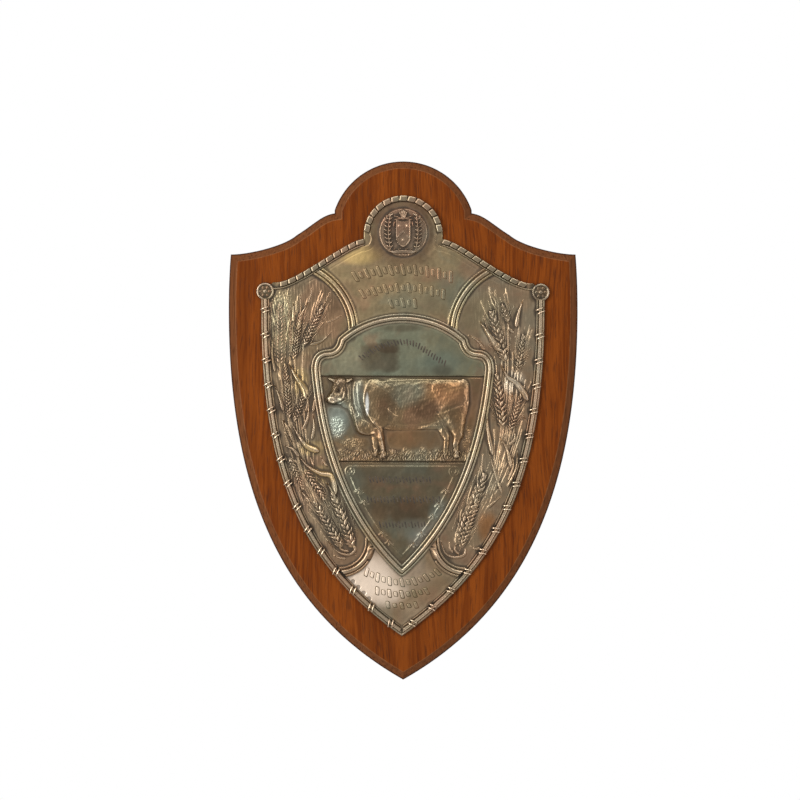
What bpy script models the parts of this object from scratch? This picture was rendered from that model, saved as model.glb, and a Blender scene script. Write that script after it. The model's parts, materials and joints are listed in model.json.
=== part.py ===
"""Shield-shaped wall plaque: a wooden back board and an embossed metal plate on its front.

Sizes are millimetres, turned into metres when the meshes are made. X runs to the viewer's
right, Z up, and the front faces -Y. The origin is on the flat back of the board.
"""
import math

import bpy
import numpy as np
from mathutils import Vector
from mathutils.geometry import delaunay_2d_cdt

MM = 0.001

# back board
BOARD_T = 20.0            # thickness
BEVEL_W = 6.5             # bevel's width seen from the front
BEVEL_D = 5.5             # bevel's depth
BACK_ROUND = 1.0          # eased back edge
EDGE_ROUND = 0.9          # eased outer edge of the bevel
ARCH_Z, ARCH_R = 164.3, 63.9
NOTCH = (60.4, 182.5)
SHOULDER = ((60.4, 182.5), (71.9, 180.9), (78.8, 172.5), (93.7, 163.3))
SHOULDER_LOW = ((93.7, 163.3), (105.1, 153.3), (137.1, 146.1), (151.9, 146.2))
SIDE_TOP = ((151.9, 146.2), (153.2, 130.0), (153.7, 115.0), (153.7, 96.7))
SIDE = ((153.7, 96.7), (153.7, -53.1), (112.9, -164.8), (0.0, -228.5))

# embossed plate
GAP = 0.3                 # seat between board and plate
TILT = math.radians(0.2)  # the plate sits a touch askew on its board
TILT_Z = 162.8
FIELD = 2.0               # metal over the seat in the open fields
EDGE = 1.2                # metal at the outer edge
DOME = 1.3                # how far the middle of the plate swells
P_ARCH_Z, P_ARCH_R, ARCH_BAND = 162.8, 34.8, 5.2
P_SHOULDER = ((34.6, 159.2), (48.5, 159.9), (96.4, 118.4), (114.0, 121.0))
SHOULDER_BAND = 6.4
ROSETTE, ROSETTE_R = (121.0, 112.9), 7.9
P_SIDE = ((124.5, 97.0), (124.5, -58.8), (82.0, -132.3), (0.0, -189.5))
BAND = 7.4                # reeded band down the sides
TIE_PITCH, TIE_W, TIE_SLANT, TIE_FIRST = 22.3, 5.2, 24, 9.3
BILLET = 7.6              # pitch of the blocks on shoulders and arch
BLOCK_W, BEAD_IN = 4.6, 5.6  # width of the shoulders' blocks, and the bead inside them

FRAME = (((0.0, 89.7), (13.0, 89.7), (35.2, 86.3), (53.0, 70.0)),
         ((53.0, 70.0), (55.0, 60.5), (60.0, 58.2), (66.0, 58.0)),
         ((66.0, 58.0), (73.0, 57.6), (76.4, 53.0), (76.3, 44.2)),
         ((76.3, 44.2), (70.7, -12.1), (54.8, -81.1), (0.0, -132.2)))
FRAME_W = 8.3
UPPER = ((75.8, 131.5), (50.1, 117.3), (42.5, 91.3), (43.5, 78.4))
LOWER_C, LOWER_R = (54.8, -106.4), 26.9
PART_W = 9.6
OX_TOP, OX_LOW = 38.6, -36.2
MEDAL_Z, MEDAL_R = 165.0, 22.3

# wheat ears: foot x, z, tip x, z, width, height of the relief
EARS = ((-107.6, 49.5, -107.7, 102.0, 13.1, 1.5), (-95.3, 55.6, -90.1, 94.1, 7.0, 1.9),
        (-86.5, 67.0, -70.9, 99.4, 7.9, 2.0), (-99.5, 2.2, -103.1, 47.7, 7.0, 1.7),
        (-94.2, 0.4, -85.5, 25.8, 7.0, 1.9), (-98.5, -34.6, -87.0, -60.8, 7.0, 1.2),
        (-84.4, -45.1, -67.7, -69.6, 8.8, 1.8), (-43.9, -109.0, -60.7, -65.2, 11.4, 2.3),
        (-54.4, -109.0, -76.4, -72.2, 10.5, 2.0), (89.5, 54.7, 78.0, 95.0, 11.4, 2.1),
        (92.0, 88.0, 87.6, 101.1, 7.0, 1.7), (100.9, 44.2, 106.0, 74.9, 7.9, 1.0),
        (87.9, -3.9, 82.5, 39.8, 10.5, 2.0), (94.9, -6.6, 103.6, 22.3, 7.9, 1.6),
        (48.9, -104.6, 72.3, -47.7, 12.3, 2.2), (52.4, -109.0, 66.3, -69.6, 9.6, 1.6))
EAR_UP, LEAF_UP = 1.4, 1.6
WIDE_EAR = 8.8            # ears at least this wide get every row of grain in the solid
POD = 0.85                # pitch of an ear's grain, as a share of its width
# leaves and stems: root x, z, tip x, z, width
LEAVES = ((-96.3, 102.9, -96.2, 86.2, 3.5), (-91.8, 79.2, -83.2, 102.9, 4.4),
          (-81.3, 66.1, -62.9, 77.5, 3.5), (-99.6, 47.7, -84.7, 26.7, 6.1),
          (-84.6, 7.4, -83.8, 22.3, 3.5), (-78.5, 9.2, -78.5, 31.1, 3.5),
          (-87.2, -8.3, -82.0, 13.6, 3.5), (-79.3, -17.1, -78.5, 4.8, 3.5),
          (-95.9, -18.8, -104.7, 0.4, 3.5), (-90.6, -32.0, -103.7, -22.3, 4.4),
          (-96.8, -3.9, -83.6, -23.2, 5.3), (-83.6, -23.2, -73.1, -27.6, 5.3),
          (-88.8, -32.8, -72.2, -46.8, 6.1), (-72.2, -46.8, -59.0, -67.0, 6.1),
          (-89.6, -61.7, -80.8, -72.2, 3.5), (67.5, 86.2, 85.1, 61.7, 5.3),
          (76.2, 114.3, 82.3, 96.7, 2.6), (97.3, 77.5, 92.0, 85.4, 3.5),
          (86.9, 47.7, 109.7, 18.8, 5.3), (79.3, -30.2, 73.9, 13.6, 4.4),
          (85.3, -14.4, 95.8, -40.1, 4.4), (94.1, -21.4, 98.4, -8.3, 3.5),
          (81.1, -45.1, 88.1, -63.5, 5.3), (88.1, -63.5, 72.4, -78.4, 5.3),
          (-62.0, -108.5, -38.9, -110.0, 3.0), (39.5, -113.4, 57.5, -111.6, 3.0))
# ox, facing left: x, z, radius, x, z, radius, height over its panel
OX = ((-10.0, 14.4, 23.0, 34.0, 14.6, 22.4, 2.9), (34.0, 26.0, 11.3, 46.5, 25.5, 11.6, 3.1),
      (44.0, 14.0, 15.0, 46.0, 0.0, 9.5, 3.5), (52.0, 31.2, 6.0, 51.8, 20.0, 6.5, 3.0),
      (-24.0, 20.0, 17.2, -22.0, 3.0, 11.5, 3.5), (-36.0, 21.0, 16.2, -46.0, 22.0, 12.5, 3.0),
      (-54.6, 30.6, 7.6, -55.5, 25.0, 8.6, 3.9), (-60.3, 20.0, 6.2, -55.5, 20.0, 6.8, 3.9),
      (-64.4, 18.0, 3.5, -60.5, 16.8, 3.6, 4.2), (-52.5, 20.5, 6.8, -49.0, 20.5, 5.8, 3.5),
      (-42.5, 12.0, 6.5, -36.5, -1.5, 7.0, 2.6), (-34.5, -5.5, 7.6, -27.0, -5.0, 8.5, 3.0),
      (-25.0, -3.0, 8.0, -19.6, -15.0, 3.8, 3.1), (-19.6, -15.0, 3.5, -17.0, -29.5, 2.6, 2.6),
      (-24.5, -10.0, 4.2, -23.4, -29.0, 2.3, 1.6), (46.0, -1.0, 9.5, 48.5, -12.0, 5.4, 3.1),
      (48.7, -12.0, 4.6, 46.6, -20.0, 3.2, 2.6), (46.6, -20.0, 3.0, 47.4, -29.6, 2.7, 2.4),
      (35.0, -5.0, 5.5, 38.6, -16.0, 3.1, 1.7), (38.6, -16.0, 2.9, 37.4, -29.0, 2.2, 1.5),
      (-60.8, 34.8, 2.3, -64.6, 36.6, 1.3, 3.3), (-48.0, 34.8, 2.4, -44.8, 35.8, 1.5, 3.2))
# folds on the ox: half width, height, then bend points
FOLDS = ((2.4, 0.65, (-28.8, 37.5), (-33.6, 21.0), (-30.6, 6.0), (-25.0, -2.0)),
         (1.2, 0.6, (31.8, 5.4), (37.4, -3.4), (42.0, -14.6), (44.9, -23.2)),
         (1.2, 0.5, (-15.0, -7.4), (-5.5, -9.0), (9.8, -8.8), (20.0, -6.2), (29.0, -4.6)),
         (1.1, 0.6, (-43.8, 11.0), (-40.9, -1.7), (-38.0, -9.4), (-31.3, -12.3), (-24.5, -11.4)),
         (1.1, 0.8, (53.4, 36.6), (57.2, 34.6), (58.2, 28.0), (57.8, 16.0), (57.0, 5.0), (56.6, -5.0)),
         (1.6, 0.9, (-57.9, 26.2), (-56.5, 26.2)))
# raised inscription on top and at the foot: half width, z, arch's rise, marks, mark's height
ROWS = ((42.0, 132.4, -6.2, 9, 9.6), (35.5, 116.4, -5.6, 9, 8.6), (10.6, 103.4, -0.8, 3, 8.2),
        (31.0, -142.2, 9.2, 10, 7.0), (21.6, -152.6, 3.0, 6, 6.4), (12.2, -162.6, 0.8, 4, 5.4))
FACES = 8950              # most triangles the plate's solid may take


def cubic(c, n):
    t = np.linspace(0.0, 1.0, n + 1)[:, None]
    a, b, d, e = (np.array(p, float) for p in c)
    return ((1 - t) ** 3) * a + 3 * (1 - t) ** 2 * t * b + 3 * (1 - t) * t * t * d + t ** 3 * e


def turn(centre, radius, start, stop, n):
    a = np.radians(np.linspace(start, stop, n + 1))
    return np.stack([centre[0] + radius * np.cos(a), centre[1] + radius * np.sin(a)], axis=1)


def join(*runs):
    """Runs of points end to end, without doubled places."""
    p = np.concatenate(runs)
    keep = np.append(True, np.hypot(*np.diff(p, axis=0).T) > 0.05)
    return p[keep]


def mirror(half):
    """A closed loop from its right half, which runs from top centre to foot."""
    left = half[1:-1][::-1] * (-1, 1)
    return np.concatenate([half, left])


def spaced(path, step):
    """A path's points at an even step, ends kept."""
    run = np.append(0.0, np.cumsum(np.hypot(*np.diff(path, axis=0).T)))
    at = np.linspace(0.0, run[-1], max(2, int(round(run[-1] / step)) + 1))
    return np.stack([np.interp(at, run, path[:, 0]), np.interp(at, run, path[:, 1])], axis=1)


def normals(path, closed=False):
    """Unit normals to the left of the way a path runs, and mitre factors."""
    if closed:
        before, after = path - np.roll(path, 1, 0), np.roll(path, -1, 0) - path
    else:
        step = np.diff(path, axis=0)
        before, after = np.vstack([step[:1], step]), np.vstack([step, step[-1:]])
    before = before / np.linalg.norm(before, axis=1)[:, None]
    after = after / np.linalg.norm(after, axis=1)[:, None]
    mean = before + after
    mean /= np.linalg.norm(mean, axis=1)[:, None]
    mitre = 1.0 / np.maximum(0.35, (mean * after).sum(1))
    return np.stack([-mean[:, 1], mean[:, 0]], axis=1), mitre


def inset(loop, by):
    """A clockwise loop moved inwards."""
    n, m = normals(loop, True)
    return loop - n * (m * by)[:, None]


def inside(loop, p):
    hit = np.zeros(len(p), bool)
    for (x0, z0), (x1, z1) in zip(loop, np.roll(loop, -1, 0)):
        if z0 != z1:
            cross = (p[:, 1] > min(z0, z1)) & (p[:, 1] <= max(z0, z1))
            hit ^= cross & (p[:, 0] < x0 + (p[:, 1] - z0) * (x1 - x0) / (z1 - z0))
    return hit


def along(path, p, reach):
    """Distance from a path, length run along it, and the side (left of its way is 1)."""
    far, run, side = np.full(len(p), 1e6), np.zeros(len(p)), np.ones(len(p))
    start = 0.0
    for a, b in zip(path[:-1], path[1:]):
        w = np.where((p[:, 0] > min(a[0], b[0]) - reach) & (p[:, 0] < max(a[0], b[0]) + reach)
                     & (p[:, 1] > min(a[1], b[1]) - reach) & (p[:, 1] < max(a[1], b[1]) + reach))[0]
        d = b - a
        size = float(np.hypot(*d))
        q = p[w] - a
        t = np.clip((q @ d) / size ** 2, 0.0, 1.0)
        dist = np.hypot(q[:, 0] - t * d[0], q[:, 1] - t * d[1])
        near = dist < far[w]
        w, t, q = w[near], t[near], q[near]
        far[w], run[w] = dist[near], start + t * size
        side[w] = np.where(d[0] * q[:, 1] - d[1] * q[:, 0] >= 0, 1.0, -1.0)
        start += size
    return far, run, side


def reed(x, half):
    """A half-round of unit height over x = 0."""
    return np.sqrt(np.clip(1.0 - (x / half) ** 2, 0.0, 1.0))


def smooth(x):
    x = np.clip(x, 0.0, 1.0)
    return x * x * (3 - 2 * x)


def board_half():
    top = turn((0, ARCH_Z), ARCH_R, 90, math.degrees(math.atan2(NOTCH[1] - ARCH_Z, NOTCH[0])), 10)
    return join(top[:-1], cubic(SHOULDER, 5), cubic(SHOULDER_LOW, 6), cubic(SIDE_TOP, 4),
                cubic(SIDE, 26))


def plate_half(n=1):
    top = turn((0, P_ARCH_Z), P_ARCH_R, 90, -6, 10 * n)
    flower = turn(ROSETTE, ROSETTE_R, 128, -62, 8 * n)
    return join(top[:-1], cubic(P_SHOULDER, 11 * n), flower, cubic(P_SIDE, 34 * n))


def frame_half(n=1):
    return join(*(cubic(c, k * n) for c, k in zip(FRAME, (7, 3, 4, 22))))


OUTLINE = mirror(plate_half(3))
SIDES = [join([(124.6, 106.0)], cubic(P_SIDE, 90)) * (s, 1) for s in (1, -1)]
SHOULDERS = [cubic(P_SHOULDER, 30) * (s, 1) for s in (1, -1)]
ARCH = turn((0, P_ARCH_Z), P_ARCH_R, 184, -4, 40)
INNER = mirror(frame_half(3))
UPPERS = [cubic(UPPER, 20) * (s, 1) for s in (1, -1)]
LOWERS = [turn(LOWER_C, LOWER_R, 180, 272, 16) * (s, 1) for s in (1, -1)]


def bar(p, centre, angle, length, width):
    """Half-lengths measured inside a slanted bar: over 0 inside, in millimetres."""
    q = p - np.array(centre)
    c, s = math.cos(angle), math.sin(angle)
    u, v = q[:, 0] * c + q[:, 1] * s, -q[:, 0] * s + q[:, 1] * c
    return np.minimum(length / 2 - np.abs(u), width / 2 - np.abs(v))


def blob(p, x0, z0, r0, x1, z1, r1):
    """1 on the spine of a tapered capsule, falling to 0 at its outline."""
    a, d = np.array((x0, z0)), np.array((x1 - x0, z1 - z0))
    t = np.clip(((p - a) @ d) / (d @ d), 0.0, 1.0)
    dist = np.hypot(*(p - a - t[:, None] * d).T)
    return 1.0 - dist / (r0 + (r1 - r0) * t)


def place_on(path, at):
    """Place and direction angle at a length run along a path."""
    run = np.append(0.0, np.cumsum(np.hypot(*np.diff(path, axis=0).T)))
    k = max(0, min(len(path) - 2, int(np.searchsorted(run, at, side="right")) - 1))
    d = path[k + 1] - path[k]
    x, z = np.interp(at, run, path[:, 0]), np.interp(at, run, path[:, 1])
    return np.array((x, z)), math.atan2(d[1], d[0])


def runs(path, pitch, first):
    size = float(np.hypot(*np.diff(path, axis=0).T).sum())
    return np.arange(first, size - pitch * 0.3, pitch)


def stations(path, pitch, first):
    """Centre and direction angle of places evenly spread along a path."""
    return [place_on(path, at) for at in runs(path, pitch, first)]


def tie_bars():
    """The doubled ribbons wound round the side bands: centre, angle, length, width."""
    out = []
    for s, path in zip((1, -1), SIDES):
        for c, a in stations(path, TIE_PITCH, TIE_FIRST):
            n = np.array((math.sin(a), -math.cos(a))) * s
            out.append((c + n * BAND / 2, a + math.radians(90 + TIE_SLANT * s), BAND + 0.4, TIE_W))
    return out


def billet_bars():
    """Blocks round the arch and down the shoulders."""
    out = []
    r = P_ARCH_R - ARCH_BAND / 2
    n = int(round(math.radians(172) * r / BILLET))
    for k in range(n):
        a = math.radians(176 - 172 * (k + 0.5) / n)
        centre = np.array((r * math.cos(a), P_ARCH_Z + r * math.sin(a)))
        out.append((centre, a - math.pi / 2, math.radians(172) * r / n - 0.9, ARCH_BAND))
    for s, path in zip((1, -1), SHOULDERS):
        for c, a in stations(path, BILLET, 3.4):
            inward = np.array((math.sin(a), -math.cos(a))) * s
            out.append((c + inward * BLOCK_W / 2, a, BILLET - 0.9, BLOCK_W))
    return out


def mark_bars():
    """Plain slanted strokes that stand in for the raised inscription."""
    out = []
    for wide, z, rise, n, tall in ROWS:
        for k in range(n):
            u = -1 + 2 * k / (n - 1)
            lean = (-0.32, 0.25, 0.0)[k % 3]
            slope = math.atan2(2 * rise * u, wide)
            size = tall * (1.0, 0.72, 0.9, 0.8)[k % 4]
            out.append(((wide * u, z + rise * u * u), slope + math.pi / 2 + lean, size, 2.3))
    return out


def ear_fat(t, w):
    """Half width of an ear at a share t of its length."""
    return w / 2 * np.clip(4 * (t + 0.06) * (1.03 - t), 0, 1) ** 0.35 * (1.08 - 0.38 * t)


def relief(p):
    """Metal height over the plate's flat back at points (x, z), in millimetres."""
    h = FIELD + DOME * np.clip(1 - (p[:, 0] / 118) ** 2 - ((p[:, 1] + 5) / 185) ** 2, 0, 1)
    # dished arch head with its medallion
    r = np.hypot(p[:, 0], p[:, 1] - MEDAL_Z)
    head = p[:, 1] > 139
    h = np.where(head & (r < 31), FIELD + 0.2, h)
    h = np.where(head, np.maximum(h, FIELD + 1.3 * smooth((MEDAL_R - r) / 3.0)), h)
    shield = np.minimum(6.1 - np.abs(p[:, 0]), np.minimum(175.6 - p[:, 1],
                        (p[:, 1] - 151.8) - 0.055 * p[:, 0] ** 2 * smooth((166 - p[:, 1]) / 12)))
    h = h + np.where(head, 0.8 * smooth(shield / 0.9), 0)
    chevron = 1.6 - np.abs(p[:, 1] - 166.5 + 0.9 * np.abs(p[:, 0]))
    h = h + np.where(shield > 0.8, 0.6 * smooth(chevron / 0.8), 0)
    crest = 1 - np.hypot(p[:, 0] / 3.4, (p[:, 1] - 181.0) / 5.2)
    h = h + 1.2 * np.sqrt(np.clip(crest, 0, 1))
    for s in (-1, 1):
        for k in range(5):
            z = 154.5 + 6.2 * k
            b = blob(p, s * 10.5, z, 1.2, s * 16.2, z + 3.6, 2.0)
            h = np.maximum(h, FIELD + 1.2 + 1.2 * np.sqrt(np.clip(b, 0, 1)) * (b > 0))
    base = np.minimum(17.2 - np.abs(p[:, 0]), 2.4 - np.abs(p[:, 1] - 148.0 + 0.01 * p[:, 0] ** 2))
    h = h + 0.9 * smooth(base / 1.0) * (r < 30)
    # wheat ears and leaves
    in_field = (p[:, 1] < 120) & ~inside(INNER, p)
    for x0, z0, x1, z1, w, up in EARS:
        spot = in_field & (np.hypot(p[:, 0] - (x0 + x1) / 2, p[:, 1] - (z0 + z1) / 2)
                           < math.hypot(x1 - x0, z1 - z0) / 2 + w)
        q = p[spot]
        a = np.array((x0, z0), float)
        d = np.array((x1 - x0, z1 - z0), float)
        size = float(np.hypot(*d))
        d /= size
        u, v = (q - a) @ d, (q - a) @ np.array((-d[1], d[0]))
        fat = ear_fat(u / size, w)
        body = np.clip(1 - (v / np.maximum(fat, 0.1)) ** 2, 0, 1)
        pod = 0.5 + 0.5 * np.cos(2 * math.pi * (u - 0.55 * np.abs(v)) / (w * POD))
        h[spot] += EAR_UP * up * np.sqrt(body) * (0.55 + 0.45 * pod)
    for x0, z0, x1, z1, w in LEAVES:
        b = blob(p, x0, z0, w * 0.42, x1, z1, w * 0.16)
        h = h + LEAF_UP * np.clip(b * 1.5, 0, 1) * in_field
    # partitions: bead, main ridge, bead
    for path in UPPERS + LOWERS:
        d = along(path, p, PART_W)[0]
        h = np.where(d < PART_W / 2, np.maximum(FIELD + 0.9, h * 0 + FIELD + 0.9), h)
        h = h + 2.2 * reed(d, 2.3) * (d < 2.3) + 0.8 * reed(d - 3.6, 1.2) * (np.abs(d - 3.6) < 1.2)
    # inner shield and its frame
    loop = np.vstack([INNER, INNER[:1]])
    d, _, side = along(loop, p, 14.0)
    within = inside(INNER, p)
    field = FIELD + 1.0 + 0.8 * np.clip(1 - (p[:, 0] / 80) ** 2 - ((p[:, 1] + 10) / 125) ** 2, 0, 1)
    h = np.where(within, field, h)
    out = np.where(within, -d, d)
    band = np.abs(out) < FRAME_W / 2
    h = np.where(band, FIELD + 1.5, h)
    h = h + 2.3 * reed(out, 2.1) * (np.abs(out) < 2.1)
    deep = within & (out < -FRAME_W / 2)
    for z, drop in ((OX_TOP, 1.0), (OX_LOW, 1.0)):
        h = h - np.where(deep, drop * np.clip(1 - np.abs(p[:, 1] - z) / 1.4, 0, 1), 0)
    ground = np.where(deep & (p[:, 1] < OX_TOP) & (p[:, 1] > OX_LOW), 1.0, 0.0)
    h = h - 0.5 * ground
    h = h + ground * 0.9 * smooth((-24.0 - p[:, 1] + 1.6 * np.sin(p[:, 0] * 0.45)) / 6)
    # the ox, its parts melted into one another
    total = np.zeros(len(p))
    for x0, z0, r0, x1, z1, r1, up in OX:
        b = np.clip(blob(p, x0, z0, r0, x1, z1, r1), 0, 1)
        total += (up * (1 - (1 - b) ** 2.6) ** 0.6) ** 5
    body = total ** 0.2
    for wide, up, *points in FOLDS:
        body = body + up * np.exp(-(along(np.array(points), p, 3 * wide)[0] / wide) ** 2) * smooth(body / 0.8)
    h = h + ground * body
    # reeded side bands
    for path in SIDES:
        d, run, _ = along(path, p, BAND + 3)
        spot = (d < BAND) & (run > 0.1)
        d = d[spot]
        up = EDGE + (FIELD - EDGE) * smooth(d / 1.0) + 1.3 * reed(d - 1.0, 1.0)
        up = up + 2.5 * reed(d - 3.7, 1.9) + 1.2 * reed(d - 6.5, 0.9)
        h[spot] = up
    for centre, angle, size, wide in tie_bars():
        b = bar(p, centre, angle, size, wide)
        h = np.where(b > 0, np.maximum(h, FIELD + 3.3 * smooth((b + 0.1) / 1.0)), h)
    # blocks on arch and shoulders, over a plain bed
    bed = np.abs(np.hypot(p[:, 0], p[:, 1] - P_ARCH_Z) - P_ARCH_R + ARCH_BAND / 2) < ARCH_BAND / 2
    h = np.where(bed & (p[:, 1] > 158.5), EDGE + 0.5, h)
    for path in SHOULDERS:
        d = along(path, p, SHOULDER_BAND)[0]
        h = np.where(d < SHOULDER_BAND, EDGE + 0.6 + 1.3 * reed(d - BEAD_IN, 0.9), h)
    for centre, angle, size, wide in billet_bars():
        b = bar(p, centre, angle, size, wide)
        h = np.where(b > 0, np.maximum(h, EDGE + 0.5 + 3.1 * reed(np.clip(1.9 - b, 0, 1.9), 1.9)), h)
    # corner rosettes: six petals round a button
    for s in (-1, 1):
        q = p - np.array((ROSETTE[0] * s, ROSETTE[1]))
        r = np.hypot(*q.T)
        a = np.arctan2(q[:, 1], q[:, 0])
        petal = FIELD + 1.9 * smooth((ROSETTE_R - r) / 2.2) * (0.7 + 0.3 * np.cos(6 * a))
        flower = np.where(r < 2.7, FIELD + 1.2 + 1.6 * reed(r, 2.7), petal)
        h = np.where(r < ROSETTE_R, flower, h)
    for centre, angle, size, wide in mark_bars():
        b = bar(p, centre, angle, size, wide)
        h = h + 1.0 * smooth(b / 0.8)
    # the sheet thins at its very edge
    rim = along(np.vstack([OUTLINE, OUTLINE[:1]]), p, 1.0)[0]
    return np.where(rim < 0.25, EDGE, h)


def triangulate(points, edges, loop):
    """Constrained triangles inside a loop; new places where edges cross are kept."""
    out = delaunay_2d_cdt([Vector(q) for q in points], [tuple(e) for e in edges], [], 0, 1e-3)
    at = np.array([tuple(v) for v in out[0]])
    tri = np.array([f for f in out[2] if len(f) == 3])
    keep = inside(loop, at[tri].mean(1))
    tri = tri[keep]
    a, b, c = at[tri[:, 0]], at[tri[:, 1]], at[tri[:, 2]]
    area = (b[:, 0] - a[:, 0]) * (c[:, 1] - a[:, 1]) - (c[:, 0] - a[:, 0]) * (b[:, 1] - a[:, 1])
    tri[area < 0] = tri[area < 0][:, ::-1]
    tri = tri[np.abs(area) > 1e-4]
    used = np.unique(tri)
    index = np.full(len(at), -1)
    index[used] = np.arange(len(used))
    return at[used], index[tri]


def shift_path(path, by):
    n, m = normals(path)
    return path + n * (m * by)[:, None]


class Lines:
    """Guide lines and points that the plate's triangles must follow."""

    def __init__(self):
        self.points, self.edges = [], []

    def add(self, path, closed=False, clip=None):
        path = np.asarray(path, float)
        good = np.ones(len(path), bool) if clip is None else clip(path)
        start = len(self.points)
        self.points += [tuple(q) for q in path]
        pairs = [(k, k + 1) for k in range(len(path) - 1)]
        if closed:
            pairs.append((len(path) - 1, 0))
        self.edges += [(start + i, start + j) for i, j in pairs if good[i] and good[j]]

    def bar(self, centre, angle, length, width, top):
        """A bar's foot and, top millimetres in from it, its crown or single ridge."""
        c, s = math.cos(angle), math.sin(angle)
        u, v = np.array((c, s)), np.array((-s, c))
        for cut in (0.0, top):
            a, b = length / 2 - cut, width / 2 - cut
            if b > 0.15:
                ends = ((-a, -b), (a, -b), (a, b), (-a, b))
                self.add([centre + u * x + v * z for x, z in ends], True)
            else:
                self.add([centre - u * a, centre + u * a])

    def blob(self, x0, z0, r0, x1, z1, r1, level, step, clip=None):
        """The outline of a tapered capsule, shrunk to a level between 0 and 1."""
        size, way = math.hypot(x1 - x0, z1 - z0), math.degrees(math.atan2(z1 - z0, x1 - x0))
        tilt = math.degrees(math.asin(max(-1, min(1, (r0 - r1) / size))))
        r0, r1 = r0 * (1 - level), r1 * (1 - level)
        k0 = max(2, int(round(math.pi * r0 / step)))
        k1 = max(2, int(round(math.pi * r1 / step)))
        tip = turn((x1, z1), r1, way - 90 + tilt, way + 90 - tilt, k1)
        foot = turn((x0, z0), r0, way + 90 - tilt, way + 270 + tilt, k0)
        shape = np.vstack([tip, foot, tip[:1]])
        long = np.hypot(*np.diff(shape, axis=0).T)
        ring = []
        for k, gap in enumerate(long):
            n = max(1, int(round(gap / step)))
            ring += [shape[k] + (shape[k + 1] - shape[k]) * i / n for i in range(n) if gap > 0.05]
        self.add(ring, True, clip)


def ear_guides(g, x0, z0, x1, z1, w):
    """Ring of an ear of wheat, and a chevron on every crest and trough of its grain."""
    size = math.hypot(x1 - x0, z1 - z0)
    d = np.array((x1 - x0, z1 - z0)) / size
    v = np.array((-d[1], d[0]))
    t = np.linspace(0.08, 0.92, 4 if size < 40 else 5)
    fat = ear_fat(t, w)
    line = np.array((x0, z0)) + np.outer(t * size, d)
    foot, tip = np.array([(x0, z0)]) - d * w * 0.12, np.array([(x1, z1)]) + d * w * 0.06
    g.add(np.vstack([foot, line + np.outer(fat, v), tip, (line - np.outer(fat, v))[::-1]]), True)
    if w < WIDE_EAR:
        g.add(line)
        return
    for k in range(1, int(size / (w * POD) * 2)):
        u = k * w * POD / 2
        out = ear_fat(u / size, w) * 0.62
        c = np.array((x0, z0)) + d * u
        if u + 0.55 * out < 0.95 * size:
            g.add([c + d * 0.55 * out + v * out, c, c + d * 0.55 * out - v * out])


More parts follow.
